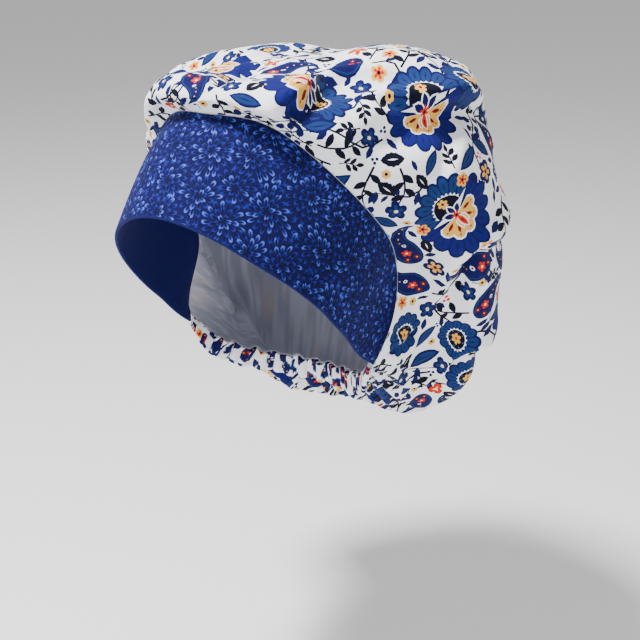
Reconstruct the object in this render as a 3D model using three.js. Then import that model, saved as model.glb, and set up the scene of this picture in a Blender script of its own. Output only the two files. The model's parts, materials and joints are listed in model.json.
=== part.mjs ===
import * as THREE from "three";

// A bouffant scrub cap in its worn shape: front band, gathered crown and elastic nape casing.
// Millimetres. The origin is the middle of the head opening at mid forehead height.
// -Y is forward, +X is the wearer's left and +Z is up.

// Half the length of the head opening, from its middle to the forehead.
const HEAD_REACH = 96;
// The crown's breadth, its height from the lowest droop to the top, and how far its middle sits back.
const CROWN_BREADTH = 256;
const CROWN_HEIGHT = 262;
const CROWN_SETBACK = 42;
// Cloth thicknesses: one layer of the crown, the folded band, and the casing with its elastic.
const CROWN_CLOTH = 1.2;
const BAND_CLOTH = 2;
const CASING_CLOTH = 3;
// Width of the elastic casing, and how far the band bows out between rim and seam.
const CASING_WIDTH = 12;
const BAND_BOW = 2;
// Clear gap between pieces that are sewn together.
const SEAM_GAP = 0.4;
// Space between the band's tip and the end of the casing.
const TIP_GAP = 2.4;
// Half width and height of a full fold, depth of the nape gathers and their number.
const FOLD_WIDTH = 10;
const FOLD_DEPTH = 5;
const GATHER_DEPTH = 3.5;
const GATHERS = 11;

// The seam round the crown's edge, right of the front middle. Turn is in degrees from the front,
// reach and height are shares of HEAD_REACH. The band meets it as far as its tip.
const EDGE = [
  { turn: 0, reach: 0.542, height: 0.714 },
  { turn: 22, reach: 0.531, height: 0.714 },
  { turn: 43, reach: 0.547, height: 0.672 },
  { turn: 60, reach: 0.635, height: 0.536 },
  { turn: 72, reach: 0.729, height: 0.385 },
  { turn: 83, reach: 0.802, height: 0.219 },
  { turn: 94, reach: 0.849, height: 0.052 },
  { turn: 105, reach: 0.88, height: -0.104 },
  { turn: 113, reach: 0.896, height: -0.271 },
  { turn: 114, reach: 0.906, height: -0.458 },
  { turn: 108, reach: 0.896, height: -0.667 },
  { turn: 100, reach: 0.823, height: -0.896 },
  { turn: 118, reach: 0.708, height: -1.104 },
  { turn: 138, reach: 0.698, height: -1.208 },
  { turn: 159, reach: 0.708, height: -1.25 },
  { turn: 180, reach: 0.708, height: -1.26 },
];
// Row of EDGE at which the band ends in its tip.
const TIP_ROW = 11;

// The band's lower rim from the front middle to the tip, in the same shares.
const RIM = [
  { turn: 0, reach: 0.995, height: 0.188 },
  { turn: 12, reach: 0.995, height: 0.156 },
  { turn: 24, reach: 0.979, height: 0.062 },
  { turn: 35, reach: 0.953, height: -0.062 },
  { turn: 47, reach: 0.917, height: -0.208 },
  { turn: 59, reach: 0.875, height: -0.375 },
  { turn: 70, reach: 0.823, height: -0.542 },
  { turn: 80, reach: 0.781, height: -0.677 },
  { turn: 89, reach: 0.76, height: -0.802 },
  { turn: 96, reach: 0.766, height: -0.88 },
  { turn: 102, reach: 0.793, height: -0.938 },
];

// Rings of the crown about its own middle, each [reach, height]: reach is a share of half
// CROWN_BREADTH and height a share of CROWN_HEIGHT above the opening's middle.
const RINGS = ["lip", "roll", "swell", "shoulder", "slope", "dome"];
const CROWN = [
  { turn: 0, lip: [0.81, 0.29], roll: [0.79, 0.321], swell: [0.72, 0.336],
    shoulder: [0.58, 0.34], slope: [0.41, 0.34], dome: [0.21, 0.344] },
  { turn: 14, lip: [0.8, 0.29], roll: [0.79, 0.321], swell: [0.72, 0.332],
    shoulder: [0.58, 0.336], slope: [0.41, 0.34], dome: [0.21, 0.344] },
  { turn: 28, lip: [0.78, 0.271], roll: [0.76, 0.302], swell: [0.7, 0.321],
    shoulder: [0.58, 0.328], slope: [0.41, 0.336], dome: [0.22, 0.344] },
  { turn: 42, lip: [0.76, 0.221], roll: [0.73, 0.26], swell: [0.69, 0.294],
    shoulder: [0.59, 0.317], slope: [0.44, 0.332], dome: [0.23, 0.344] },
  { turn: 55, lip: [0.76, 0.156], roll: [0.75, 0.206], swell: [0.71, 0.252],
    shoulder: [0.62, 0.294], slope: [0.48, 0.328], dome: [0.25, 0.347] },
  { turn: 67, lip: [0.78, 0.084], roll: [0.8, 0.141], swell: [0.77, 0.206],
    shoulder: [0.7, 0.271], slope: [0.53, 0.317], dome: [0.28, 0.351] },
  { turn: 78, lip: [0.8, 0.008], roll: [0.85, 0.069], swell: [0.86, 0.153],
    shoulder: [0.79, 0.24], slope: [0.62, 0.313], dome: [0.32, 0.359] },
  { turn: 88, lip: [0.78, -0.069], roll: [0.9, -0.031], swell: [0.95, 0.084],
    shoulder: [0.9, 0.206], slope: [0.74, 0.34], dome: [0.38, 0.375] },
  { turn: 98, lip: [0.77, -0.168], roll: [0.93, -0.137], swell: [1.02, -0.015],
    shoulder: [0.94, 0.172], slope: [0.78, 0.342], dome: [0.42, 0.378] },
  { turn: 108, lip: [0.75, -0.29], roll: [0.95, -0.267], swell: [1.05, -0.107],
    shoulder: [0.98, 0.141], slope: [0.81, 0.336], dome: [0.45, 0.378] },
  { turn: 118, lip: [0.72, -0.466], roll: [0.95, -0.412], swell: [1.06, -0.183],
    shoulder: [0.99, 0.115], slope: [0.83, 0.322], dome: [0.47, 0.378] },
  { turn: 131, lip: [0.66, -0.595], roll: [0.93, -0.534], swell: [1.05, -0.244],
    shoulder: [0.99, 0.092], slope: [0.84, 0.3], dome: [0.47, 0.371] },
  { turn: 146, lip: [0.56, -0.626], roll: [0.84, -0.573], swell: [1.04, -0.26],
    shoulder: [0.99, 0.069], slope: [0.83, 0.262], dome: [0.47, 0.36] },
  { turn: 163, lip: [0.48, -0.611], roll: [0.8, -0.557], swell: [1.02, -0.26],
    shoulder: [1.01, 0.053], slope: [0.84, 0.237], dome: [0.47, 0.344] },
  { turn: 180, lip: [0.46, -0.603], roll: [0.77, -0.55], swell: [1.01, -0.26],
    shoulder: [1.01, 0.046], slope: [0.83, 0.233], dome: [0.46, 0.34] },
];
// The smallest ring round the crown's top.
const CAP_RING = { reach: 0.14, height: 0.347 };

// Folds and dents of the crown. Path steps are [round, up, width]: the share of the way round from
// the front over the wearer's left, the share from the seam to the top, and the half width as a
// share of FOLD_WIDTH. Swell lifts the path, tuck lifts its left side over its right, both as
// shares of FOLD_DEPTH, and lean pushes the crest sideways over the hollow.
const FOLDS = [
  { name: "brow crease", swell: 0, tuck: 0.7, lean: 0.2,
    path: [[0.12, 0.57, 0.7], [0.157, 0.615, 0.8], [0.19, 0.64, 0.8], [0.24, 0.64, 0.7]] },
  { name: "side crest", swell: 0, tuck: 1.1, lean: 0.4,
    path: [[0.13, 0.3, 1], [0.157, 0.39, 1.1], [0.187, 0.48, 1], [0.222, 0.535, 0.85],
      [0.258, 0.562, 0.8], [0.29, 0.568, 0.9], [0.32, 0.565, 1]] },
  { name: "front pleat", swell: 0, tuck: 0.8, lean: 0.3,
    path: [[0.064, 0, 0.7], [0.077, 0.208, 0.8], [0.088, 0.304, 0.8], [0.1, 0.458, 0.9],
      [0.127, 0.66, 0.9]] },
  { name: "cheek crease", swell: 0, tuck: 1, lean: 0.3,
    path: [[0.31, 0.09, 0.9], [0.29, 0.15, 0.9], [0.27, 0.223, 1], [0.281, 0.321, 1],
      [0.325, 0.415, 1], [0.38, 0.47, 1]] },
  { name: "nape crease", swell: 0, tuck: 1, lean: 0.3,
    path: [[0.385, 0.05, 0.8], [0.367, 0.1, 0.8], [0.352, 0.145, 0.9], [0.345, 0.204, 1],
      [0.365, 0.3, 1], [0.4, 0.38, 1]] },
  { name: "lower ridge", swell: 0.5, tuck: 0, lean: 0,
    path: [[0.37, 0.015, 0.8], [0.339, 0.06, 0.9], [0.319, 0.1, 0.9], [0.295, 0.16, 0.9]] },
  { name: "top hollow", swell: -0.7, tuck: 0, lean: 0,
    path: [[-0.02, 0.2, 1], [0.003, 0.39, 1], [-0.006, 0.56, 1], [-0.03, 0.68, 1]] },
  { name: "top lump", swell: 1, tuck: 0, lean: 0,
    path: [[-0.22, 0.68, 1], [-0.175, 0.745, 1], [-0.13, 0.79, 1]] },
  { name: "far slump", swell: -2, tuck: 0, lean: 0,
    path: [[-0.46, 0.62, 2.6], [-0.28, 0.66, 3], [-0.1, 0.7, 2.6]] },
  { name: "right crest", swell: 0, tuck: -0.8, lean: -0.2,
    path: [[-0.13, 0.34, 1], [-0.18, 0.46, 1], [-0.24, 0.53, 1], [-0.31, 0.55, 1]] },
  { name: "right crease", swell: 0, tuck: -0.9, lean: -0.2,
    path: [[-0.32, 0.1, 0.9], [-0.285, 0.2, 1], [-0.29, 0.31, 1.1], [-0.34, 0.42, 1.1]] },
  { name: "right nape crease", swell: 0, tuck: -0.9, lean: -0.3,
    path: [[-0.39, 0.07, 0.9], [-0.36, 0.16, 1], [-0.37, 0.27, 1], [-0.42, 0.36, 1]] },
  { name: "back furrow", swell: -0.6, tuck: 0, lean: 0,
    path: [[0.47, 0.16, 1.2], [0.48, 0.3, 1.4], [0.46, 0.46, 1.4], [0.47, 0.6, 1.2]] },
  { name: "back ridge", swell: 0.6, tuck: 0, lean: 0,
    path: [[0.53, 0.14, 1.2], [0.54, 0.28, 1.4], [0.56, 0.42, 1.4], [0.55, 0.58, 1.2]] },
];
// Share of a fold's length over which it dies out at each end, and points kept along its path.
const FOLD_END = 0.22;
const FOLD_POINTS = 24;

// The gathers: share of the way round where they start, the height share where they are deepest,
// and the height share over which they die out.
const GATHER_START = 0.39;
const GATHER_CREST = 0.09;
const GATHER_SPREAD = 0.11;

// Mesh density: columns along the band and each gather, and the rows up the crown.
const BAND_COLUMNS = 56;
const COLUMNS_PER_GATHER = 4;
const FULL_ROWS = [0, 0.03, 0.06, 0.09, 0.125, 0.16, 0.2, 0.25, 0.3, 0.345, 0.39, 0.43, 0.47,
  0.51, 0.55, 0.59, 0.63, 0.67];
const HALF_ROWS = [0.73, 0.79, 0.86, 0.93];
const BAND_ROWS = 5;
const CASING_ROWS = 3;
// Share of the casing's length over which it widens from the band's tip.
const CASING_TAPER = 0.14;
// Share of the cloth's thickness by which a folded edge bulges, and the step used for slopes.
const EDGE_ROUNDING = 0.3;
const SLOPE_STEP = 0.002;

const HALF_BREADTH = CROWN_BREADTH / 2;

/** A smooth rise from 0 to 1 as x goes from 0 to 1. */
function smooth(x) {
  const t = Math.min(Math.max(x, 0), 1);
  return t * t * (3 - 2 * t);
}

/** A point at a turn from the front, a reach and a height, about a middle set back along +Y. */
function polar(turn, reach, height, setback) {
  const angle = THREE.MathUtils.degToRad(turn);
  return new THREE.Vector3(reach * Math.sin(angle), setback - reach * Math.cos(angle), height);
}

/** The whole loop from the points of its left half, front to back. */
function mirrored(points) {
  const right = points.slice(1, -1).reverse();
  return points.concat(right.map((p) => new THREE.Vector3(-p.x, p.y, p.z)));
}

/** The weighted sum of points. */
function blend(points, weights) {
  const sum = new THREE.Vector3();
  points.forEach((point, i) => sum.addScaledVector(point, weights[i]));
  return sum;
}

/** A closed loop of smooth curve drawn inside its points. */
function closedCurve(points, round) {
  const n = points.length;
  const x = (round - Math.floor(round)) * n;
  const i = Math.floor(x);
  const f = x - i;
  const g = 1 - f;
  const near = [-1, 0, 1, 2].map((k) => points[(i + k + n) % n]);
  const weights = [g ** 3, 3 * f ** 3 - 6 * f * f + 4, 3 * g ** 3 - 6 * g * g + 4, f ** 3];
  return blend(near, weights.map((w) => w / 6));
}

/** Weights of the four neighbours of a curve that passes through its points. */
function throughWeights(f) {
  return [
    (-f + 2 * f * f - f ** 3) / 2,
    (2 - 5 * f * f + 3 * f ** 3) / 2,
    (f + 4 * f * f - 3 * f ** 3) / 2,
    (f ** 3 - f * f) / 2,
  ];
}

/** A curve through its points, with the first and the last point added before and after. */
function openCurve(points, share) {
  const n = points.length - 3;
  const x = Math.min(Math.max(share, 0), 1) * n;
  const i = Math.min(Math.floor(x), n - 1);
  return blend(points.slice(i, i + 4), throughWeights(x - i));
}

/** The points with one more at each end, mirrored through the end point. */
function extended(points) {
  const first = points[0].clone().multiplyScalar(2).sub(points[1]);
  const last = points[points.length - 1].clone().multiplyScalar(2).sub(points[points.length - 2]);
  return [first, ...points, last];
}

const edgeLoop = mirrored(
  EDGE.map((row) => polar(row.turn, row.reach * HEAD_REACH, row.height * HEAD_REACH, 0)),
);
const crownLoops = RINGS.map((ring) =>
  mirrored(
    CROWN.map((row) =>
      polar(row.turn, row[ring][0] * HALF_BREADTH, row[ring][1] * CROWN_HEIGHT, CROWN_SETBACK),
    ),
  ),
);
const capLoop = mirrored(
  CROWN.map((row, i) =>
    polar(
      (180 * i) / (CROWN.length - 1),
      CAP_RING.reach * HALF_BREADTH,
      CAP_RING.height * CROWN_HEIGHT,
      CROWN_SETBACK,
    ),
  ),
);
const loops = [edgeLoop, ...crownLoops, capLoop];
const crownTop = new THREE.Vector3(0, CROWN_SETBACK, CAP_RING.height * CROWN_HEIGHT);

/** The crown's smooth form, without folds: round and up are shares as in FOLDS. */
function smoothCrown(round, up) {
  const points = loops.map((loop) => closedCurve(loop, round));
  const before = points[0].clone().multiplyScalar(2).sub(points[1]);
  const beyond = closedCurve(capLoop, round + 0.5);
  return openCurve([before, ...points, crownTop, beyond], up);
}

/** The outward direction of a surface given as a function of round and up. */
function outward(surface, round, up) {
  const low = Math.max(up - SLOPE_STEP, 0);
  const high = Math.min(up + SLOPE_STEP, 1 - SLOPE_STEP);
  const along = surface(round + SLOPE_STEP, up).sub(surface(round - SLOPE_STEP, up));
  const climb = surface(round, Math.max(high, low + SLOPE_STEP)).sub(surface(round, low));
  return along.cross(climb).normalize();
}

const foldPaths = FOLDS.map((fold) => {
  const steps = extended(fold.path.map((step) => new THREE.Vector3(...step)));
  const points = [];
  for (let i = 0; i <= FOLD_POINTS; i += 1) {
    const step = openCurve(steps, i / FOLD_POINTS);
    points.push({ at: smoothCrown(step.x, step.y), width: step.z * FOLD_WIDTH });
  }
  return { fold, points };
});

/** How far one fold moves the cloth at a point of the smooth crown. */
function foldShift({ fold, points }, at, normal) {
  let nearest = Infinity;
  let share = 0;
  let width = FOLD_WIDTH;
  const gap = new THREE.Vector3();
  const along = new THREE.Vector3();
  for (let i = 0; i < FOLD_POINTS; i += 1) {
    const step = points[i + 1].at.clone().sub(points[i].at);
    const reach = at.clone().sub(points[i].at);
    const f = Math.min(Math.max(reach.dot(step) / step.lengthSq(), 0), 1);
    reach.addScaledVector(step, -f);
    if (reach.length() < nearest) {
      nearest = reach.length();
      share = (i + f) / FOLD_POINTS;
      width = points[i].width + f * (points[i + 1].width - points[i].width);
      gap.copy(reach);
      along.copy(step).normalize();
    }
  }
  const left = normal.clone().cross(along);
  const x = (Math.sign(gap.dot(left)) * nearest) / width;
  const strength = FOLD_DEPTH * smooth(share / FOLD_END) * smooth((1 - share) / FOLD_END);
  const bell = Math.exp((-x * x) / 2);
  const step = Math.exp(0.5) * x * bell;
  const crest = Math.exp((-(x - 1) * (x - 1)) / 2);
  return normal
    .clone()
    .multiplyScalar(strength * (fold.swell * bell + fold.tuck * step))
    .addScaledVector(left, -strength * fold.lean * crest);
}

/** The height of the nape gathers, which fade in and out along the elastic. */
function gatherHeight(round, up) {
  const turn = round - Math.floor(round);
  const share = (turn - GATHER_START) / (1 - 2 * GATHER_START);
  if (share <= 0 || share >= 1) {
    return 0;
  }
  const ends = smooth(share / 0.1) * smooth((1 - share) / 0.1);
  const uneven = 0.8 + 0.2 * Math.sin(5 * share * Math.PI);
  const fade = Math.exp(-(((up - GATHER_CREST) / GATHER_SPREAD) ** 2));
  return GATHER_DEPTH * ends * uneven * fade * Math.sin(2 * Math.PI * GATHERS * share);
}

/** The crown's outer surface with its folds and gathers. */
function crownCloth(round, up) {
  const at = smoothCrown(round, up);
  const normal = outward(smoothCrown, round, up);
  const point = at.clone().addScaledVector(normal, gatherHeight(round, up));
  const hold = smooth(up / GATHER_CREST);
  foldPaths.forEach((path) => point.addScaledVector(foldShift(path, at, normal), hold));
  return point;
}

/** A solid sheet: the outer faces, the same faces moved in by the cloth, and its closed edge. */
function thickened(points, faces, cloth, edge) {
  const normals = points.map(() => new THREE.Vector3());
  faces.forEach(([a, b, c]) => {
    const side = points[b].clone().sub(points[a]);
    const facing = side.cross(points[c].clone().sub(points[a]));
    [a, b, c].forEach((i) => normals[i].add(facing));
  });
  normals.forEach((normal) => normal.normalize());
  edge.seams.forEach(({ index, out }) => normals[index].copy(out));
  const inner = points.map((point, i) => point.clone().addScaledVector(normals[i], -cloth));
  const all = points.concat(inner);
  const count = points.length;
  const solid = faces.concat(faces.map(([a, b, c]) => [a + count, c + count, b + count]));
  const { loop, rounded } = edge;
  const middle = all.length;
  loop.forEach((i, k) => {
    const before = points[loop[(k + loop.length - 1) % loop.length]];
    const after = points[loop[(k + 1) % loop.length]];
    const along = after.clone().sub(before).normalize();
    const bulge = rounded(i) ? cloth * EDGE_ROUNDING : 0;
    const centre = points[i].clone().add(inner[i]).multiplyScalar(0.5);
    all.push(centre.addScaledVector(along.cross(normals[i]), bulge));
  });
  loop.forEach((a, k) => {
    const next = (k + 1) % loop.length;
    const b = loop[next];
    const m = middle + k;
    const n = middle + next;
    solid.push([b, a, m], [b, m, n], [n, m, a + count], [n, a + count, b + count]);
  });
  const geometry = new THREE.BufferGeometry();
  geometry.setAttribute(
    "position",
    new THREE.Float32BufferAttribute(all.flatMap((p) => [p.x, p.y, p.z]), 3),
  );
  geometry.setIndex(solid.flat());
  geometry.computeVertexNormals();
  return geometry;
}

/** A strip of sheet from columns of points, lower edge first; seams face out at the upper edge. */
function strip(columns, cloth, outs) {
  const rows = columns[0].length;
  const last = columns.length - 1;
  const at = (column, row) => column * rows + row;
  const faces = [];
  for (let i = 0; i < last; i += 1) {
    for (let j = 0; j < rows - 1; j += 1) {
      faces.push([at(i, j), at(i + 1, j), at(i + 1, j + 1)]);
      faces.push([at(i, j), at(i + 1, j + 1), at(i, j + 1)]);
    }
  }
  const loop = [];
  for (let i = 0; i < last; i += 1) loop.push(at(i, 0));
  for (let j = 0; j < rows - 1; j += 1) loop.push(at(last, j));
  for (let i = last; i > 0; i -= 1) loop.push(at(i, rows - 1));
  for (let j = rows - 1; j > 0; j -= 1) loop.push(at(0, j));
  const rounded = (index) => index % rows === 0;
  const seams = outs.map((out, i) => ({ index: at(i, rows - 1), out }));
  return thickened(columns.flat(), faces, cloth, { loop, rounded, seams });
}

const tipShare = TIP_ROW / edgeLoop.length;
const rimHalf = extended(
  RIM.map((row) => polar(row.turn, row.reach * HEAD_REACH, row.height * HEAD_REACH, 0)),
);
const rimCurve = [mirrorOf(rimHalf[2]), ...rimHalf.slice(1)];

/** The same point on the wearer's other side. */
function mirrorOf(point) {
  return new THREE.Vector3(-point.x, point.y, point.z);
}

/** A point of the band's rim opposite a point of the seam. */
function rimPoint(round) {
  const point = openCurve(rimCurve, Math.abs(round) / tipShare);
  return round < 0 ? mirrorOf(point) : point;
}

/** How the casing hangs: its width and the way down, which starts along the band's end. */
function casingFall(round, along, at) {
  const share = (round - tipShare) / (1 - 2 * tipShare);
  const side = share < 0.5 ? 1 : -1;
  const bandEnd = rimPoint(side * tipShare).sub(crownCloth(side * tipShare, 0));
  const hang = smooth(Math.min(share, 1 - share) / CASING_TAPER);
  const out = new THREE.Vector3(at.x, at.y, 0).normalize();
  const down = along.clone().cross(out).normalize();
  const width = THREE.MathUtils.lerp(bandEnd.length(), CASING_WIDTH, hang);
  return { width, down: bandEnd.normalize().lerp(down, hang).normalize() };
}

/** The seam at a column: the crown's edge, the way both cloths face there, and the way to the gap. */
function seamAt(round) {
  const at = crownCloth(round, 0);
  const edge = smoothCrown(round, 0);
  const ahead = smoothCrown(round + SLOPE_STEP, 0);
  const along = ahead.sub(smoothCrown(round - SLOPE_STEP, 0)).normalize();
  const onBand = Math.abs(round) <= tipShare;
  const climb = onBand
    ? at.clone().sub(rimPoint(round))
    : casingFall(round, along, edge).down.negate();
  const crownClimb = smoothCrown(round, FULL_ROWS[1]).sub(edge);
  const lowerOut = along.clone().cross(climb).normalize();
  const out = along.clone().cross(crownClimb).normalize().add(lowerOut).normalize();
  return { at, along, lowerOut, out, away: along.clone().cross(out) };
}

/** Shares of the way round of the columns along the band, from tip to tip. */
function bandColumns() {
  const shares = [];
  for (let i = 0; i <= BAND_COLUMNS; i += 1) {
    shares.push(tipShare * ((2 * i) / BAND_COLUMNS - 1));
  }
  return shares;
}

/** Shares of the way round of the columns behind the tips, in step with the gathers. */
function napeColumns() {
  const count = GATHERS * COLUMNS_PER_GATHER;
  const between = (tipShare + GATHER_START) / 2;
  const shares = [between];
  for (let i = 0; i <= count; i += 1) {
    shares.push(GATHER_START + ((1 - 2 * GATHER_START) * i) / count);
  }
  return [...shares, 1 - between];
}

/** The crown: full rows of columns, then half as many columns up to the top. */
function crownGeometry() {
  const columns = [...bandColumns(), ...napeColumns()];
  const n = columns.length;
  const half = n / 2;
  const points = FULL_ROWS.flatMap((up) => columns.map((round) => crownCloth(round, up)));
  const faces = [];
  for (let j = 0; j < FULL_ROWS.length - 1; j += 1) {
    for (let i = 0; i < n; i += 1) {
      const a = j * n + i;
      const b = j * n + ((i + 1) % n);
      faces.push([a, b, b + n], [a, b + n, a + n]);
    }
  }
  const top = (FULL_ROWS.length - 1) * n;
  const start = points.length;
  HALF_ROWS.forEach((up) => {
    for (let i = 0; i < half; i += 1) {
      points.push(crownCloth(columns[2 * i], up));
    }
  });
  for (let i = 0; i < half; i += 1) {
    const next = (i + 1) % half;
    const a = top + 2 * i;
    const c = top + ((2 * i + 2) % n);
    faces.push([a, a + 1, start + i], [a + 1, start + next, start + i]);
    faces.push([a + 1, c, start + next]);
  }
  for (let j = 0; j < HALF_ROWS.length - 1; j += 1) {
    for (let i = 0; i < half; i += 1) {
      const a = start + j * half + i;
      const b = start + j * half + ((i + 1) % half);
      faces.push([a, b, b + half], [a, b + half, a + half]);
    }
  }
  const rim = start + (HALF_ROWS.length - 1) * half;
  points.push(crownCloth(0, 1));
  for (let i = 0; i < half; i += 1) {
    faces.push([rim + i, rim + ((i + 1) % half), points.length - 1]);
  }
  const loop = columns.map((round, i) => i);
  const seams = columns.map((round, i) => ({ index: i, out: seamAt(round).out }));
  return thickened(points, faces, CROWN_CLOTH, { loop, rounded: () => false, seams });
}

/** The front band: straight from rim to seam, bowed out a little over the skull. */
function bandGeometry() {
  const outs = [];
  const columns = bandColumns().map((round) => {
    const { at, lowerOut, out, away } = seamAt(round);
    const rim = rimPoint(round);
    const seam = at.addScaledVector(away, SEAM_GAP);
    const bow = BAND_BOW * Math.min(rim.distanceTo(seam) / HEAD_REACH, 1);
    const column = [];
    for (let j = 0; j <= BAND_ROWS; j += 1) {
      const up = j / BAND_ROWS;
      column.push(rim.clone().lerp(seam, up).addScaledVector(lowerOut, bow * 4 * up * (1 - up)));
    }
    outs.push(out);
    return column;
  });
  return strip(columns, BAND_CLOTH, outs);
}

/** The nape casing: a gathered strip from tip to tip, hanging from the crown's edge. */
function casingGeometry() {
  const outs = [];
  const start = tipShare + TIP_GAP / (2 * Math.PI * HEAD_REACH);
  const columns = [start, ...napeColumns(), 1 - start].map((round) => {
    const { at, along, out, away } = seamAt(round);
    const { width, down } = casingFall(round, along, at);
    const top = at.addScaledVector(away, SEAM_GAP);
    const column = [];
    for (let j = 0; j <= CASING_ROWS; j += 1) {
      column.push(top.clone().addScaledVector(down, width * (1 - j / CASING_ROWS)));
    }
    outs.push(out);
    return column;
  });
  return strip(columns, CASING_CLOTH, outs);
}

/** A named mesh with its own plain material. */
function piece(name, geometry, colour, roughness) {
  const material = new THREE.MeshStandardMaterial({ color: colour, roughness });
  material.name = name;
  const mesh = new THREE.Mesh(geometry, material);
  mesh.name = name;
  return mesh;
}

const cap = new THREE.Group();
cap.name = "scrub_cap";
cap.add(piece("crown", crownGeometry(), 0xf1f1f4, 0.85));
cap.add(piece("front_band", bandGeometry(), 0x1d2a86, 0.85));
cap.add(piece("nape_casing", casingGeometry(), 0xe6e7ec, 0.88));

export default cap;
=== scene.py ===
"""Dressed model of a bouffant scrub cap for Blender 4.5, in metres.

The wearer faces -Y, the wearer's left is +X and the origin is the middle of the head opening.
The forms are worked out in millimetres by the same functions as the part's source, on finer
meshes, and the printed cottons are inlaid into those meshes as crisp shapes of ink.
"""
import json
import logging
import math
from dataclasses import dataclass, field
from enum import Enum
from typing import Callable, Sequence

import bpy
import numpy as np
from mathutils import Matrix, Vector
from mathutils.geometry import delaunay_2d_cdt
from mathutils.kdtree import KDTree

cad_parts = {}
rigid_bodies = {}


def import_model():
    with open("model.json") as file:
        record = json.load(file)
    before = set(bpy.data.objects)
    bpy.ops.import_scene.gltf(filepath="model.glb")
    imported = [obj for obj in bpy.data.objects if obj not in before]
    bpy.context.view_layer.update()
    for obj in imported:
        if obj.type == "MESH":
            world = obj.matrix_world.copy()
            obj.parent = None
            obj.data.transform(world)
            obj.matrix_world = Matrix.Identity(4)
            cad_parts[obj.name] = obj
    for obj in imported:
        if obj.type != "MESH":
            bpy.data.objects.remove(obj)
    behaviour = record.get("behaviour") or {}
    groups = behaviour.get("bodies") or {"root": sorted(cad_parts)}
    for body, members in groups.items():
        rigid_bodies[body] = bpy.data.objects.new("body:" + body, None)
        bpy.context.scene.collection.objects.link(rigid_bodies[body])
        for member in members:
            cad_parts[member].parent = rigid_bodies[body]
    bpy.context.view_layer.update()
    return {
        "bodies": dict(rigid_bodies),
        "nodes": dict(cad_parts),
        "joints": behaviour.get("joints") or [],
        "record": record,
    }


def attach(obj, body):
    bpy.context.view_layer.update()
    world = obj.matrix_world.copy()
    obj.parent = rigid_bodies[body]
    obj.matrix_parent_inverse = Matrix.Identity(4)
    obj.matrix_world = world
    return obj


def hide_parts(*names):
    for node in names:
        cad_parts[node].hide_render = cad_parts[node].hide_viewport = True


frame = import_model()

LOG = logging.getLogger("scrub_cap")
MM = 0.001
SEED = 2919
INK_LAYER = "Ink"
WEAVE_LAYER = "Weave"
Array = np.ndarray


# Tables of the part's source.

EDGE = (
    (0, 0.542, 0.714), (22, 0.531, 0.714), (43, 0.547, 0.672), (60, 0.635, 0.536),
    (72, 0.729, 0.385), (83, 0.802, 0.219), (94, 0.849, 0.052), (105, 0.88, -0.104),
    (113, 0.896, -0.271), (114, 0.906, -0.458), (108, 0.896, -0.667), (100, 0.823, -0.896),
    (118, 0.708, -1.104), (138, 0.698, -1.208), (159, 0.708, -1.25), (180, 0.708, -1.26),
)
TIP_ROW = 11
RIM = (
    (0, 0.995, 0.188), (12, 0.995, 0.156), (24, 0.979, 0.062), (35, 0.953, -0.062),
    (47, 0.917, -0.208), (59, 0.875, -0.375), (70, 0.823, -0.542), (80, 0.781, -0.677),
    (89, 0.76, -0.802), (96, 0.766, -0.88), (102, 0.793, -0.938),
)
CROWN = (
    (0, (0.81, 0.29), (0.79, 0.321), (0.72, 0.336), (0.58, 0.34), (0.41, 0.34), (0.21, 0.344)),
    (14, (0.8, 0.29), (0.79, 0.321), (0.72, 0.332), (0.58, 0.336), (0.41, 0.34), (0.21, 0.344)),
    (28, (0.78, 0.271), (0.76, 0.302), (0.7, 0.321), (0.58, 0.328), (0.41, 0.336), (0.22, 0.344)),
    (42, (0.76, 0.221), (0.73, 0.26), (0.69, 0.294), (0.59, 0.317), (0.44, 0.332), (0.23, 0.344)),
    (55, (0.76, 0.156), (0.75, 0.206), (0.71, 0.252), (0.62, 0.294), (0.48, 0.328), (0.25, 0.347)),
    (67, (0.78, 0.084), (0.8, 0.141), (0.77, 0.206), (0.7, 0.271), (0.53, 0.317), (0.28, 0.351)),
    (78, (0.8, 0.008), (0.85, 0.069), (0.86, 0.153), (0.79, 0.24), (0.62, 0.313), (0.32, 0.359)),
    (88, (0.78, -0.069), (0.9, -0.031), (0.95, 0.084), (0.9, 0.206), (0.74, 0.34), (0.38, 0.375)),
    (98, (0.77, -0.168), (0.93, -0.137), (1.02, -0.015), (0.94, 0.172), (0.78, 0.342),
     (0.42, 0.378)),
    (108, (0.75, -0.29), (0.95, -0.267), (1.05, -0.107), (0.98, 0.141), (0.81, 0.336),
     (0.45, 0.378)),
    (118, (0.72, -0.466), (0.95, -0.412), (1.06, -0.183), (0.99, 0.115), (0.83, 0.322),
     (0.47, 0.378)),
    (131, (0.66, -0.595), (0.93, -0.534), (1.05, -0.244), (0.99, 0.092), (0.84, 0.3),
     (0.47, 0.371)),
    (146, (0.56, -0.626), (0.84, -0.573), (1.04, -0.26), (0.99, 0.069), (0.83, 0.262),
     (0.47, 0.36)),
    (163, (0.48, -0.611), (0.8, -0.557), (1.02, -0.26), (1.01, 0.053), (0.84, 0.237),
     (0.47, 0.344)),
    (180, (0.46, -0.603), (0.77, -0.55), (1.01, -0.26), (1.01, 0.046), (0.83, 0.233),
     (0.46, 0.34)),
)
CAP_RING = (0.14, 0.347)


@dataclass(frozen=True)
class Fold:
    """A fold of the crown: swell, tuck and lean in fold depths, path as (round, up, width)."""

    swell: float
    tuck: float
    lean: float
    path: tuple[tuple[float, float, float], ...]


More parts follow.
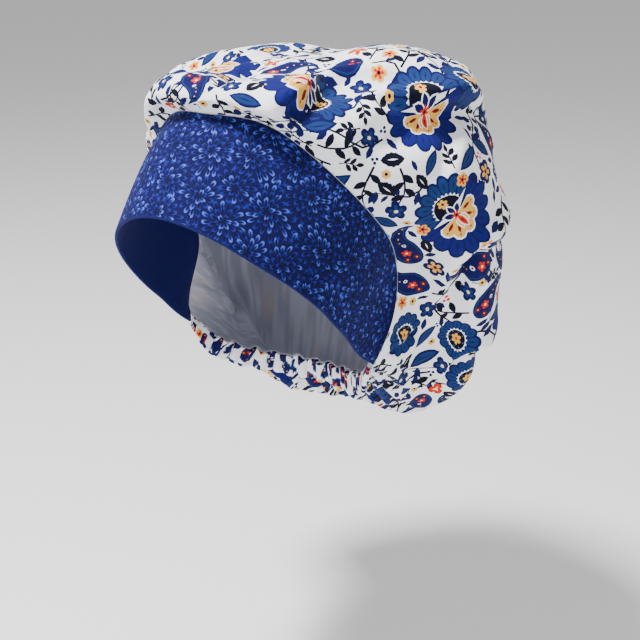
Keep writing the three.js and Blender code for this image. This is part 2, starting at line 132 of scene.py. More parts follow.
FOLDS = (
    Fold(0, 0.7, 0.2, ((0.12, 0.57, 0.7), (0.157, 0.615, 0.8), (0.19, 0.64, 0.8),
                       (0.24, 0.64, 0.7))),
    Fold(0, 1.1, 0.4, ((0.13, 0.3, 1), (0.157, 0.39, 1.1), (0.187, 0.48, 1),
                       (0.222, 0.535, 0.85), (0.258, 0.562, 0.8), (0.29, 0.568, 0.9),
                       (0.32, 0.565, 1))),
    Fold(0, 0.8, 0.3, ((0.064, 0, 0.7), (0.077, 0.208, 0.8), (0.088, 0.304, 0.8),
                       (0.1, 0.458, 0.9), (0.127, 0.66, 0.9))),
    Fold(0, 1, 0.3, ((0.31, 0.09, 0.9), (0.29, 0.15, 0.9), (0.27, 0.223, 1),
                     (0.281, 0.321, 1), (0.325, 0.415, 1), (0.38, 0.47, 1))),
    Fold(0, 1, 0.3, ((0.385, 0.05, 0.8), (0.367, 0.1, 0.8), (0.352, 0.145, 0.9),
                     (0.345, 0.204, 1), (0.365, 0.3, 1), (0.4, 0.38, 1))),
    Fold(0.5, 0, 0, ((0.37, 0.015, 0.8), (0.339, 0.06, 0.9), (0.319, 0.1, 0.9),
                     (0.295, 0.16, 0.9))),
    Fold(-0.7, 0, 0, ((-0.02, 0.2, 1), (0.003, 0.39, 1), (-0.006, 0.56, 1),
                      (-0.03, 0.68, 1))),
    Fold(1, 0, 0, ((-0.22, 0.68, 1), (-0.175, 0.745, 1), (-0.13, 0.79, 1))),
    Fold(-2, 0, 0, ((-0.46, 0.62, 2.6), (-0.28, 0.66, 3), (-0.1, 0.7, 2.6))),
    Fold(0, -0.8, -0.2, ((-0.13, 0.34, 1), (-0.18, 0.46, 1), (-0.24, 0.53, 1),
                         (-0.31, 0.55, 1))),
    Fold(0, -0.9, -0.2, ((-0.32, 0.1, 0.9), (-0.285, 0.2, 1), (-0.29, 0.31, 1.1),
                         (-0.34, 0.42, 1.1))),
    Fold(0, -0.9, -0.3, ((-0.39, 0.07, 0.9), (-0.36, 0.16, 1), (-0.37, 0.27, 1),
                         (-0.42, 0.36, 1))),
    Fold(-0.6, 0, 0, ((0.47, 0.16, 1.2), (0.48, 0.3, 1.4), (0.46, 0.46, 1.4),
                      (0.47, 0.6, 1.2))),
    Fold(0.6, 0, 0, ((0.53, 0.14, 1.2), (0.54, 0.28, 1.4), (0.56, 0.42, 1.4),
                     (0.55, 0.58, 1.2))),
)


CREASES = (
    Fold(-0.2, 0.72, 0, ((0.072, 0.16, 0.3), (0.08, 0.25, 0.4), (0.09, 0.34, 0.46),
                         (0.103, 0.46, 0.5), (0.115, 0.555, 0.5), (0.137, 0.625, 0.46),
                         (0.181, 0.663, 0.4), (0.221, 0.65, 0.34))),
    Fold(-0.2, 0.85, 0, ((0.15, 0.5, 0.34), (0.181, 0.543, 0.42), (0.205, 0.561, 0.5),
                         (0.24, 0.564, 0.54), (0.277, 0.567, 0.56), (0.325, 0.563, 0.56),
                         (0.36, 0.55, 0.45))),
    Fold(-0.25, 0.5, 0, ((0.275, 0.535, 0.4), (0.257, 0.505, 0.46), (0.244, 0.466, 0.46),
                         (0.232, 0.4, 0.46), (0.228, 0.34, 0.4))),
    Fold(-0.25, 0.75, 0, ((0.303, 0.13, 0.34), (0.288, 0.16, 0.42), (0.277, 0.21, 0.5),
                          (0.276, 0.27, 0.54), (0.284, 0.34, 0.5), (0.302, 0.39, 0.4))),
    Fold(-0.2, 0.45, 0, ((0.365, 0.008, 0.26), (0.35, 0.025, 0.32), (0.338, 0.046, 0.34),
                         (0.322, 0.07, 0.3))),
    Fold(-0.25, 0.8, 0, ((0.362, 0.11, 0.34), (0.352, 0.145, 0.42), (0.34, 0.19, 0.5),
                         (0.34, 0.235, 0.5), (0.358, 0.3, 0.42))),
    Fold(-0.25, 0.5, 0, ((0.374, 0.012, 0.3), (0.381, 0.062, 0.36), (0.365, 0.11, 0.4),
                         (0.355, 0.15, 0.4))),
    Fold(-0.15, 0.5, 0, ((0.02, 0.3, 0.34), (0.004, 0.4, 0.42), (0.001, 0.5, 0.48),
                         (-0.012, 0.63, 0.48), (-0.058, 0.73, 0.42))),
    Fold(-0.25, 0.3, 0, ((0.2, 0.03, 0.3), (0.215, 0.12, 0.42), (0.222, 0.22, 0.46),
                         (0.214, 0.3, 0.4))),
    Fold(-0.15, -0.5, 0, ((-0.13, 0.34, 0.4), (-0.18, 0.46, 0.5), (-0.24, 0.53, 0.5),
                          (-0.31, 0.55, 0.4))),
    Fold(-0.2, -0.6, 0, ((-0.32, 0.1, 0.36), (-0.285, 0.2, 0.46), (-0.29, 0.31, 0.5),
                         (-0.34, 0.42, 0.4))),
    Fold(-0.2, -0.6, 0, ((-0.39, 0.07, 0.36), (-0.36, 0.16, 0.46), (-0.37, 0.27, 0.46),
                         (-0.42, 0.36, 0.4))),
    Fold(-0.45, 0.3, 0, ((0.44, 0.12, 0.34), (0.45, 0.26, 0.5), (0.44, 0.4, 0.5),
                         (0.455, 0.55, 0.4))),
    Fold(-0.45, -0.3, 0, ((0.51, 0.1, 0.34), (0.5, 0.24, 0.5), (0.515, 0.4, 0.5),
                          (0.5, 0.56, 0.4))),
)


@dataclass(frozen=True)
class Wrinkles:
    """A family of fine creases: how many, and the ranges of their sizes."""

    count: int
    start: tuple[float, float]
    climb: tuple[float, float]
    slant: float
    width: tuple[float, float]
    height: tuple[float, float]

    def folds(self, rng: np.random.Generator) -> list[Fold]:
        """Draws the creases, evenly spread round the crown.

        Args:
            rng: the random draws.

        Returns:
            The folds.
        """
        made = []
        for k in range(self.count):
            around = (k + rng.uniform(-0.4, 0.4)) / self.count
            low = rng.uniform(*self.start)
            climb, slant = rng.uniform(*self.climb), rng.normal() * self.slant
            bend = rng.normal() * self.slant * 0.4
            width = rng.uniform(*self.width)
            path = tuple(
                (around + slant * t + bend * math.sin(math.pi * t), low + climb * t,
                 width * (0.75 + 0.5 * t))
                for t in (0.0, 0.35, 0.7, 1.0)
            )
            height = rng.uniform(*self.height)
            side = rng.choice([-1, 1])
            made.append(Fold(-0.5 * height, side * height, 0, path))
        return made


LEADS = ((0.096, 0.46, 200), (0.245, 0.31, 60), (-0.08, 0.62, 20))
PRINT_TRIES = 160000
GREAT_GAP = 15
GREAT_TRIES = 6000
PRINT_GAP = 0.4
VINE_TRIES = 3000
VINE_GAP = 35

WRINKLES = (
    Wrinkles(38, (0.0, 0.012), (0.06, 0.16), 0.018, (0.22, 0.34), (0.1, 0.24)),
    Wrinkles(17, (0.12, 0.3), (0.12, 0.26), 0.05, (0.5, 0.8), (0.1, 0.22)),
    Wrinkles(13, (0.45, 0.7), (0.06, 0.14), 0.09, (0.5, 0.8), (0.1, 0.2)),
)


@dataclass(frozen=True)
class CapSizes:
    """The named sizes of the part, in millimetres where they are lengths."""

    head_reach: float = 96
    crown_breadth: float = 256
    crown_height: float = 262
    crown_setback: float = 42
    crown_cloth: float = 0.9
    band_cloth: float = 2
    casing_cloth: float = 3
    casing_width: float = 12
    band_bow: float = 2
    seam_gap: float = 0.4
    tip_gap: float = 2.4
    fold_width: float = 10
    fold_depth: float = 5
    fold_end: float = 0.22
    fold_points: int = 24
    gather_depth: float = 3.5
    gathers: int = 11
    gather_start: float = 0.39
    gather_crest: float = 0.09
    gather_spread: float = 0.11
    casing_taper: float = 0.14
    slope_step: float = 0.002


# Curves and small vector helpers.


TURNS = (0.0, 1.6, 3.2, 4.8)


def smooth(x: Array) -> Array:
    """A smooth rise from 0 to 1 as x goes from 0 to 1."""
    t = np.clip(x, 0, 1)
    return t * t * (3 - 2 * t)


def unit(v: Array) -> Array:
    """Vectors of length one, along the last axis."""
    return v / (np.linalg.norm(v, axis=-1, keepdims=True) + 1e-12)


def polar(rows: Sequence[tuple[float, float, float]], setback: float) -> Array:
    """Points at (turn from the front in degrees, reach, height) about a middle set back."""
    turn, reach, height = np.array(rows, float).T
    angle = np.radians(turn)
    return np.stack([reach * np.sin(angle), setback - reach * np.cos(angle), height], -1)


def mirrored(points: Array) -> Array:
    """The whole loop from the points of its left half, front to back."""
    return np.vstack([points, points[1:-1][::-1] * [-1, 1, 1]])


def closed_curve(points: Array, share: Array) -> Array:
    """A closed loop of smooth curve drawn inside its points.

    Args:
        points: the loop's control points, one row each.
        share: shares of the way round.

    Returns:
        One point for each share.
    """
    n = len(points)
    x = (share - np.floor(share)) * n
    i = np.minimum(np.floor(x).astype(int), n - 1)
    f = x - i
    g = 1 - f
    weights = (g**3, 3 * f**3 - 6 * f * f + 4, 3 * g**3 - 6 * g * g + 4, f**3)
    return sum(w[:, None] / 6 * points[(i + k - 1) % n] for k, w in enumerate(weights))


def through_weights(f: Array) -> tuple[Array, ...]:
    """Weights of the four neighbours of a curve that passes through its points.

    Args:
        f: places between two points, from 0 to 1.

    Returns:
        Four arrays of weights.
    """
    return (
        (-f + 2 * f * f - f**3) / 2,
        (2 - 5 * f * f + 3 * f**3) / 2,
        (f + 4 * f * f - 3 * f**3) / 2,
        (f**3 - f * f) / 2,
    )


def open_curve(points: Array, share: Array) -> Array:
    """A curve through its points, whose first and last points lie beyond its ends."""
    n = len(points) - 3
    x = np.clip(share, 0, 1) * n
    i = np.minimum(np.floor(x).astype(int), n - 1)
    return sum(w[:, None] * points[i + k] for k, w in enumerate(through_weights(x - i)))


def extended(points: Array) -> Array:
    """The points with one more at each end, mirrored through the end point."""
    return np.vstack([2 * points[0] - points[1], points, 2 * points[-1] - points[-2]])


# The cloth forms.


class CrownForm:
    """The crown's surface by its share of the way round and its share up from the seam."""

    def __init__(self, sizes: CapSizes) -> None:
        """Works out the loops and the fold paths from the tables.

        Args:
            sizes: the cap's sizes.
        """
        self.sizes = sizes
        half, high = sizes.crown_breadth / 2, sizes.crown_height
        edge = [(a, r * sizes.head_reach, h * sizes.head_reach) for a, r, h in EDGE]
        self.loops = [mirrored(polar(edge, 0))]
        for k in range(1, len(CROWN[0])):
            ring = [(row[0], row[k][0] * half, row[k][1] * high) for row in CROWN]
            self.loops.append(mirrored(polar(ring, sizes.crown_setback)))
        reach, height = CAP_RING[0] * half, CAP_RING[1] * high
        cap = [(a, reach, height) for a in np.linspace(0, 180, len(CROWN))]
        self.loops.append(mirrored(polar(cap, sizes.crown_setback)))
        self.top = np.array([0, sizes.crown_setback, height])
        self.tip = TIP_ROW / len(self.loops[0])
        rng = np.random.default_rng(SEED)
        fine = [*CREASES, *(fold for family in WRINKLES for fold in family.folds(rng))]
        self.paths = [self._fold_path(fold) for fold in FOLDS]
        self.fine_paths = [self._fold_path(fold) for fold in fine]
        self.swells = [
            (unit(rng.normal(size=3)) * 2 * math.pi / length, rng.uniform(0, 2 * math.pi))
            for length in (34, 41, 47, 55, 62, 74)
        ]

    def _fold_path(self, fold: Fold) -> tuple[Fold, Array, Array]:
        """A fold with the points and half widths along its path."""
        steps = extended(np.array(fold.path, float))
        at = open_curve(steps, np.linspace(0, 1, self.sizes.fold_points + 1))
        return fold, self.smooth(at[:, 0], at[:, 1]), at[:, 2] * self.sizes.fold_width

    def smooth(self, around: Array, up: Array) -> Array:
        """The form without folds or gathers.

        Args:
            around: shares of the way round, 0 at the front.
            up: shares of the way up.

        Returns:
            Points in millimetres.
        """
        rings = [closed_curve(loop, around) for loop in self.loops]
        before = 2 * rings[0] - rings[1]
        beyond = closed_curve(self.loops[-1], around + 0.5)
        top = np.broadcast_to(self.top, before.shape)
        control = np.stack([before, *rings, top, beyond])
        n = len(rings)
        x = np.clip(up, 0, 1) * n
        i = np.minimum(np.floor(x).astype(int), n - 1)
        each = np.arange(len(x))
        return sum(
            w[:, None] * control[i + k, each] for k, w in enumerate(through_weights(x - i))
        )

    def outward(self, around: Array, up: Array) -> Array:
        """The outward direction of the smooth form."""
        step = self.sizes.slope_step
        low = np.maximum(up - step, 0)
        high = np.maximum(np.minimum(up + step, 1 - step), low + step)
        along = self.smooth(around + step, up) - self.smooth(around - step, up)
        return unit(np.cross(along, self.smooth(around, high) - self.smooth(around, low)))

    def _fold_shift(self, path: tuple[Fold, Array, Array], at: Array, normal: Array) -> Array:
        """How far one fold moves the cloth at points of the smooth form.

        Args:
            path: the line of points.
            at: points in millimetres.
            normal: outward directions at the points.

        Returns:
            Moves in millimetres.
        """
        fold, points, widths = path
        shift = np.zeros_like(at)
        margin = 4.5 * widths.max()
        low, high = points.min(0) - margin, points.max(0) + margin
        near = np.where(((at > low) & (at < high)).all(1))[0]
        if not len(near):
            return shift
        p, n = at[near], normal[near]
        nearest = np.full(len(p), np.inf)
        share, width = np.zeros(len(p)), np.ones(len(p))
        gap, along = np.zeros_like(p), np.zeros_like(p)
        count = len(points) - 1
        for i in range(count):
            step = points[i + 1] - points[i]
            reach = p - points[i]
            f = np.clip(reach @ step / (step @ step), 0, 1)
            reach = reach - f[:, None] * step
            far = np.linalg.norm(reach, axis=1)
            new = far < nearest
            nearest[new] = far[new]
            share[new] = (i + f[new]) / count
            width[new] = widths[i] + f[new] * (widths[i + 1] - widths[i])
            gap[new] = reach[new]
            along[new] = unit(step)
        left = np.cross(n, along)
        x = np.sign((gap * left).sum(1)) * nearest / width
        end = self.sizes.fold_end
        strength = self.sizes.fold_depth * smooth(share / end) * smooth((1 - share) / end)
        bell = np.exp(-x * x / 2)
        rise = strength * (fold.swell * bell + fold.tuck * math.exp(0.5) * x * bell)
        lean = -strength * fold.lean * np.exp(-((x - 1) ** 2) / 2)
        shift[near] = n * rise[:, None] + left * lean[:, None]
        return shift

    def gather_height(self, around: Array, up: Array) -> Array:
        """The height of the main nape gathers.

        Args:
            around: shares of the way round, 0 at the front.
            up: shares of the way up.

        Returns:
            Heights in millimetres.
        """
        s = self.sizes
        turn = around - np.floor(around)
        share = (turn - s.gather_start) / (1 - 2 * s.gather_start)
        inside = (share > 0) & (share < 1)
        ends = smooth(share / 0.1) * smooth((1 - share) / 0.1)
        uneven = 0.8 + 0.2 * np.sin(5 * share * math.pi)
        fade = np.exp(-(((up - s.gather_crest) / s.gather_spread) ** 2))
        wave = np.sin(2 * math.pi * s.gathers * share)
        return np.where(inside, s.gather_depth * ends * uneven * fade * wave, 0)

    def fine_height(self, around: Array, up: Array, at: Array) -> Array:
        """Fine gathers by the elastic, puckers along the band's seam and soft waves.

        Args:
            around: shares of the way round, 0 at the front.
            up: shares of the way up.
            at: points in millimetres.

        Returns:
            Heights in millimetres.
        """
        turn = around - np.floor(around)
        nape = smooth((turn - 0.355) / 0.04) * smooth((0.645 - turn) / 0.04)
        angle = 2 * math.pi * turn
        fine = np.sin(58 * angle + 2.4 * np.sin(9 * angle)) + 0.6 * np.sin(93 * angle + 1.1)
        tight = 1.05 * nape * np.exp(-(((up - 0.035) / 0.065) ** 2)) * fine
        pucker = np.sin(47 * angle + 2.2 * np.sin(6 * angle)) * (0.6 + 0.4 * np.sin(11 * angle))
        eased = 0.55 * (1 - nape) * pucker * np.exp(-up / 0.06) * smooth(up / 0.02)
        waves = sum(np.sin(at @ wave + phase) for wave, phase in self.swells)
        return tight + eased + 0.42 * waves * smooth(up / 0.12)

    def cloth(self, around: Array, up: Array) -> Array:
        """The crown's outer surface with its folds, gathers and fine waves.

        Args:
            around: shares of the way round from the front over the wearer's left.
            up: shares of the way from the seam to the crown's top.

        Returns:
            Points in millimetres.
        """
        at = self.smooth(around, up)
        normal = self.outward(around, up)
        height = self.gather_height(around, up) + self.fine_height(around, up, at)
        shift = normal * height[:, None]
        hold = smooth(up / self.sizes.gather_crest)[:, None]
        for path in self.paths:
            shift += self._fold_shift(path, at, normal) * hold
        hold = smooth(up / 0.02)[:, None]
        for path in self.fine_paths:
            shift += self._fold_shift(path, at, normal) * hold
        return at + shift


@dataclass
class SeamFrame:
    """The crown's edge with the directions that the joined cloths share there."""

    at: Array
    along: Array
    lower_out: Array
    out: Array
    away: Array


class LowerForm:
    """The band and the casing, which hang from the crown's edge."""

    def __init__(self, crown: CrownForm) -> None:
        """Keeps the crown's form and works out the band's rim.

        Args:
            crown: the crown's form.
        """
        self.crown = crown
        self.sizes = crown.sizes
        reach = self.sizes.head_reach
        half = extended(polar([(a, r * reach, h * reach) for a, r, h in RIM], 0))
        self.rim_curve = np.vstack([half[2] * [-1, 1, 1], half[1:]])
        self.turns = np.linspace(0, 1, 3001)
        frame = self._seam(np.where(self.turns > 0.5, self.turns - 1, self.turns))
        self.table = (frame.at, frame.along, frame.lower_out, frame.out, frame.away)

    def rim(self, around: Array) -> Array:
        """Points of the band's rim opposite points of the seam."""
        points = open_curve(self.rim_curve, np.abs(around) / self.crown.tip)
        return points * np.where(around < 0, -1, 1)[:, None] ** [1, 0, 0]

    def casing_fall(self, around: Array, along: Array, at: Array) -> tuple[Array, Array]:
        """The casing's width and the way it hangs, which starts along the band's end.

        Args:
            around: shares of the way round, 0 at the front.
            along: directions along the seam.
            at: points in millimetres.

        Returns:
            The widths and the unit directions.
        """
        tip = self.crown.tip
        share = (around - tip) / (1 - 2 * tip)
        side = np.where(share < 0.5, 1.0, -1.0)
        end = self.rim(side * tip) - self.crown.cloth(side * tip, np.zeros_like(side))
        hang = smooth(np.minimum(share, 1 - share) / self.sizes.casing_taper)[:, None]
        down = unit(np.cross(along, unit(at * [1, 1, 0])))
        free = hang[:, 0]
        width = np.linalg.norm(end, axis=1) * (1 - free) + self.sizes.casing_width * free
        return width, unit(unit(end) * (1 - hang) + down * hang)

    def seam(self, around: Array) -> SeamFrame:
        """The seam's frames at shares of the way round, read from a fine table."""
        turn = around - np.floor(around)
        parts = [np.stack([np.interp(turn, self.turns, column) for column in table.T], 1)
                 for table in self.table]
        return SeamFrame(*parts)

    def _seam(self, around: Array) -> SeamFrame:
        """The seam's frames, worked out.

        Args:
            around: shares of the way round, 0 at the front.

        Returns:
            The frames.
        """
        crown, step, zero = self.crown, self.sizes.slope_step, np.zeros_like(around)
        at, edge = crown.cloth(around, zero), crown.smooth(around, zero)
        along = unit(crown.smooth(around + step, zero) - crown.smooth(around - step, zero))
        on_band = (np.abs(around) <= crown.tip + 1e-9)[:, None]
        fall = -self.casing_fall(around - np.floor(around), along, edge)[1]
        climb = np.where(on_band, at - self.rim(around), fall)
        lower_out = unit(np.cross(along, climb))
        crown_climb = crown.smooth(around, zero + 0.03) - edge
        out = unit(unit(np.cross(along, crown_climb)) + lower_out)
        return SeamFrame(at, along, lower_out, out, np.cross(along, out))

    def band(self, share: Array, up: Array) -> Array:
        """The band's outer surface, from tip to tip and from rim to seam.

        Args:
            share: shares of the way along.
            up: shares of the way up.

        Returns:
            Points in millimetres.
        """
        around = share * self.crown.tip
        seam = self.seam(around)
        rim = self.rim(around)
        top = seam.at + seam.away * self.sizes.seam_gap
        long = np.linalg.norm(top - rim, axis=1)
        bow = self.sizes.band_bow * np.minimum(long / self.sizes.head_reach, 1) * 4 * up * (1 - up)
        ease = 0.25 * np.sin(9 * share + 5 * up) + 0.2 * np.sin(17 * share - 3 * up)
        rise = bow + ease * 4 * up * (1 - up)
        return rim + (top - rim) * up[:, None] + seam.lower_out * rise[:, None]

    def casing(self, share: Array, up: Array) -> Array:
        """The casing's outer surface, from tip to tip and from its hem to the seam.

        Args:
            share: shares of the way along.
            up: shares of the way up.

        Returns:
            Points in millimetres.
        """
        tip = self.crown.tip
        start = tip + self.sizes.tip_gap / (2 * math.pi * self.sizes.head_reach)
        around = start + (1 - 2 * start) * share
        seam = self.seam(around)
        width, down = self.casing_fall(around, seam.along, self.crown.smooth(around, 0 * up))
        top = seam.at + seam.away * self.sizes.seam_gap
        gathered = smooth(share / 0.06) * smooth((1 - share) / 0.06)
        wave = np.sin(70 * math.pi * share + 1.8 * np.sin(26 * share))
        wave += 0.5 * np.sin(121 * math.pi * share + 3 * up)
        puff = 0.75 * gathered * wave * np.sin(math.pi * np.clip(up * 0.9 + 0.08, 0, 1))
        fall = (width * (1 - up))[:, None] * down
        return top + fall + seam.lower_out * puff[:, None]


# Flat charts of the surfaces, and the inlaying of printed shapes.


class Chart:
    """A table of surface points over a flat rectangle, with walks along the surface."""

    def __init__(self, xs: Array, ys: Array, points: Array) -> None:
        """Keeps the table and its slopes.

        Args:
            xs: the table's first axis.
            ys: the table's second axis.
            points: the points.
        """
        self.low = np.array([xs[0], ys[0]])
        self.step = np.array([xs[1] - xs[0], ys[1] - ys[0]])
        self.size = np.array(points.shape[:2])
        self.points = points
        self.slopes = np.stack(
            [np.gradient(points, self.step[0], axis=0), np.gradient(points, self.step[1], axis=1)]
        )

    def _cells(self, p: Array) -> tuple[Array, Array, Array, Array]:
        """The cell of each flat point and the place in it."""
        x = np.clip((p - self.low) / self.step, 0, self.size - 1.001)
        i = np.floor(x).astype(int)
        f = x - i
        return i[:, 0], i[:, 1], f[:, :1], f[:, 1:]

    @staticmethod
    def _mix(table: Array, i: Array, j: Array, f: Array, g: Array) -> Array:
        """Values of a table between its nodes."""
        low = table[i, j] * (1 - f) + table[i + 1, j] * f
        return low * (1 - g) + (table[i, j + 1] * (1 - f) + table[i + 1, j + 1] * f) * g

    def at(self, p: Array) -> Array:
        """Surface points of flat points."""
        return self._mix(self.points, *self._cells(p))

    def tangents(self, p: Array) -> tuple[Array, Array]:
        """Slopes of the surface along the flat axes."""
        cells = self._cells(p)
        return self._mix(self.slopes[0], *cells), self._mix(self.slopes[1], *cells)

    def walk(self, start: Array, turn: Array, local: Array) -> Array:
        """Lays local points on the surface by walking straight from a start point.

        Args:
            start: the flat start point of each local point.
            turn: the turn of its local axes in radians.
            local: local points in millimetres.

        Returns:
            Flat points.
        """
        p = start.astype(float).copy()
        px, py = self.tangents(p)
        first = unit(px)
        second = np.cross(unit(np.cross(px, py)), first)
        c, s = np.cos(turn)[:, None], np.sin(turn)[:, None]
        heading = local[:, :1] * (c * first + s * second)
        heading += local[:, 1:] * (c * second - s * first)
        far = np.linalg.norm(local, axis=1, keepdims=True)
        heading = unit(heading)
        steps = max(3, int(math.ceil(float(far.max()) / 3)))
        for _ in range(steps):
            e, f, g = (px * px).sum(1), (px * py).sum(1), (py * py).sum(1)
            a, b = (px * heading).sum(1), (py * heading).sum(1)
            det = e * g - f * f + 1e-9
            move = np.stack([(g * a - f * b) / det, (e * b - f * a) / det], 1)
            p += move * far / steps
            px, py = self.tangents(p)
            n = unit(np.cross(px, py))
            heading = unit(heading - n * (heading * n).sum(1, keepdims=True))
        return p


def linear(red: int, green: int, blue: int) -> tuple[float, float, float]:
    """A colour in linear light from its usual 0 to 255 values."""
    shares = [c / 255 for c in (red, green, blue)]
    return tuple(c / 12.92 if c <= 0.04045 else ((c + 0.055) / 1.055) ** 2.4 for c in shares)


class Ink(Enum):
    """The inks of the two printed cottons, in linear light."""

    WHITE = linear(242, 243, 248)
    NAVY = linear(13, 16, 74)
    NIGHT = linear(7, 9, 30)
    ROYAL = linear(16, 22, 98)
    MID = linear(24, 48, 100)
    STEEL = linear(56, 84, 138)
    GOLD = linear(226, 172, 74)
    CREAM = linear(244, 220, 168)
    FLAME = linear(208, 42, 14)
    WINE = linear(110, 16, 22)
    BAND = linear(12, 12, 62)
    BAND_DEEP = linear(7, 7, 36)
    PETAL = linear(27, 36, 126)
    PETAL_TIP = linear(68, 90, 198)


@dataclass
class Shape:
    """A printed shape: its outline, its ink, and where it fades to a second ink."""

    points: Array
    ink: Ink
    tip_ink: Ink | None = None
    axis: tuple[tuple[float, float], tuple[float, float]] | None = None


@dataclass
class Motif:
    """A printed motif: its shapes from the bottom up and the discs that it covers."""

    shapes: list[Shape] = field(default_factory=list)
    discs: list[tuple[float, float, float]] = field(default_factory=list)

    def add(self, ink: Ink, *outlines: Array) -> "Motif":
        """Adds outlines in one ink."""
        self.shapes += [Shape(points, ink) for points in outlines]
        return self

    def join(self, other: "Motif", turn: float, at: tuple[float, float]) -> "Motif":
        """Adds another motif, turned by degrees and moved.

        Args:
            other: the motif to add.
            turn: its turn in degrees.
            at: where its origin goes.

        Returns:
            The motif itself.
        """
        for shape in other.shapes:
            axis = shape.axis
            if axis is not None:
                axis = tuple(map(tuple, placed(np.array(axis), turn, at)))
            points = placed(shape.points, turn, at)
            self.shapes.append(Shape(points, shape.ink, shape.tip_ink, axis))
        for x, y, r in other.discs:
            (a, b), = placed(np.array([[x, y]]), turn, at)
            self.discs.append((a, b, r))
        return self


def placed(points: Array, turn: float, at: tuple[float, float] = (0, 0)) -> Array:
    """Flat points turned by degrees about the origin and then moved."""
    c, s = math.cos(math.radians(turn)), math.sin(math.radians(turn))
    return points @ np.array([[c, s], [-s, c]]) + np.array(at)


def oval(x: float, y: float, rx: float, ry: float | None = None, turn: float = 0,
         count: int = 14) -> Array:
    """An oval about a point."""
    a = np.linspace(0, 2 * math.pi, count, endpoint=False)
    points = np.stack([rx * np.cos(a), (rx if ry is None else ry) * np.sin(a)], 1)
    return placed(points, turn, (x, y))


def drop(start: float, end: float, width: float, turn: float = 0, blunt: float = 1.3,
         count: int = 14) -> Array:
    """A drop along a ray from the origin: pointed at its start, round at its end."""
    a = np.linspace(0, 2 * math.pi, count, endpoint=False)
    x = start + (end - start) * (1 - np.cos(a)) / 2
    y = -width / 2 * np.sin(a) * np.abs(np.sin(a / 2)) ** blunt * 1.3
    return placed(np.stack([x, y], 1), turn)


def leaf(start: float, end: float, width: float, turn: float = 0, bend: float = 0,
         count: int = 7) -> Array:
    """A leaf along a ray: pointed at both ends, its middle bent sideways.

    Args:
        start: where it starts.
        end: where it ends.
        width: its greatest width.
        turn: its turn in degrees.
        bend: its sideways bow.
        count: how many steps or parts.

    Returns:
        Flat points.
    """
    t = np.linspace(0, 1, count + 1)
    side = width / 2 * np.sin(math.pi * t) ** 0.85
    mid = bend * np.sin(math.pi * t)
    x = start + (end - start) * t
    lower = np.stack([x, mid - side], 1)
    upper = np.stack([x, mid + side], 1)[::-1]
    return placed(np.vstack([lower, upper[1:-1]]), turn)


def stroke(path: Array, start: float, end: float) -> Array:
    """A line along a path with a width that changes from its start to its end."""
    path = np.asarray(path, float)
    along = unit(np.gradient(path, axis=0))
    side = along[:, ::-1] * [-1, 1] * np.linspace(start, end, len(path))[:, None] / 2
    return np.vstack([path - side, (path + side)[::-1]])


def arc(radius: float, start: float, end: float, x: float = 0, y: float = 0,
        count: int = 8) -> Array:
    """Points on an arc from one turn to another, in degrees."""
    a = np.radians(np.linspace(start, end, count))
    return np.stack([x + radius * np.cos(a), y + radius * np.sin(a)], 1)


def scallops(radius: float, depth: float, lobes: int, start: float = 0, end: float = 360,
             per: int = 5) -> Array:
    """A fan or, over a full turn, a disc with a scalloped edge.

    Args:
        radius: its outer radius.
        depth: the depth of the scallops.
        lobes: how many scallops.
        start: where it starts.
        end: where it ends.
        per: points to a scallop.

    Returns:
        Flat points.
    """
    whole = end - start >= 360
    share = np.linspace(0, lobes, lobes * per + (0 if whole else 1), endpoint=not whole)
    r = radius - depth * (1 - np.abs(np.sin(math.pi * share)) ** 0.7)
    a = np.radians(start + (end - start) * share / lobes)
    points = np.stack([r * np.cos(a), r * np.sin(a)], 1)
    return points if whole else np.vstack([[[0, 0]], points])


def star(outer: float, inner: float, points: int, turn: float = 0) -> Array:
    """A star or zigzag ring's outline."""
    a = np.radians(turn) + np.arange(2 * points) * math.pi / points
    r = np.where(np.arange(2 * points) % 2 == 0, outer, inner)
    return np.stack([r * np.cos(a), r * np.sin(a)], 1)


def floret(radius: float, petals: int, ink: Ink, heart: Ink, turn: float = 0) -> Motif:
    """A tiny flower of round petals with a heart."""
    made = Motif(discs=[(0, 0, radius)])
    made.add(ink, placed(scallops(radius, radius * 0.42, petals), turn))
    return made.add(heart, oval(0, 0, radius * 0.3, count=7))


def blossom(radius: float, petal: Ink, inner: Ink, heart: Ink, petals: int = 5) -> Motif:
    """An open flower: dark petals, a lighter star of inner petals and a small heart."""
    made = Motif(discs=[(0, 0, radius)])
    made.add(petal, scallops(radius, radius * 0.34, petals))
    made.add(inner, scallops(radius * 0.66, radius * 0.44, petals, per=4))
    return made.add(heart, oval(0, 0, radius * 0.2, count=6))


def tongues(ink: Ink, count: int, start: float, end: float, near: float, far: float,
            vein: Ink) -> Motif:
    """A fan of tongues that leave a gap between them, each with a slim vein.

    Args:
        ink: its ink.
        count: how many steps or parts.
        start: where it starts.
        end: where it ends.
        near: where it starts, from the middle.
        far: where it ends, from the middle.
        vein: ink of the veins.

    Returns:
        The motif.
    """
    made = Motif()
    spread = (end - start) / count
    width = 2 * math.sin(math.radians(spread / 2)) * (near + (far - near) * 0.68) * 0.86
    for k in range(count):
        turn = start + spread * (k + 0.5)
        made.add(ink, drop(near, far, width, turn, 0.8, 10))
        made.add(vein, leaf(near + (far - near) * 0.3, far - (far - near) * 0.18, width * 0.16,
                            turn, count=2))
    return made


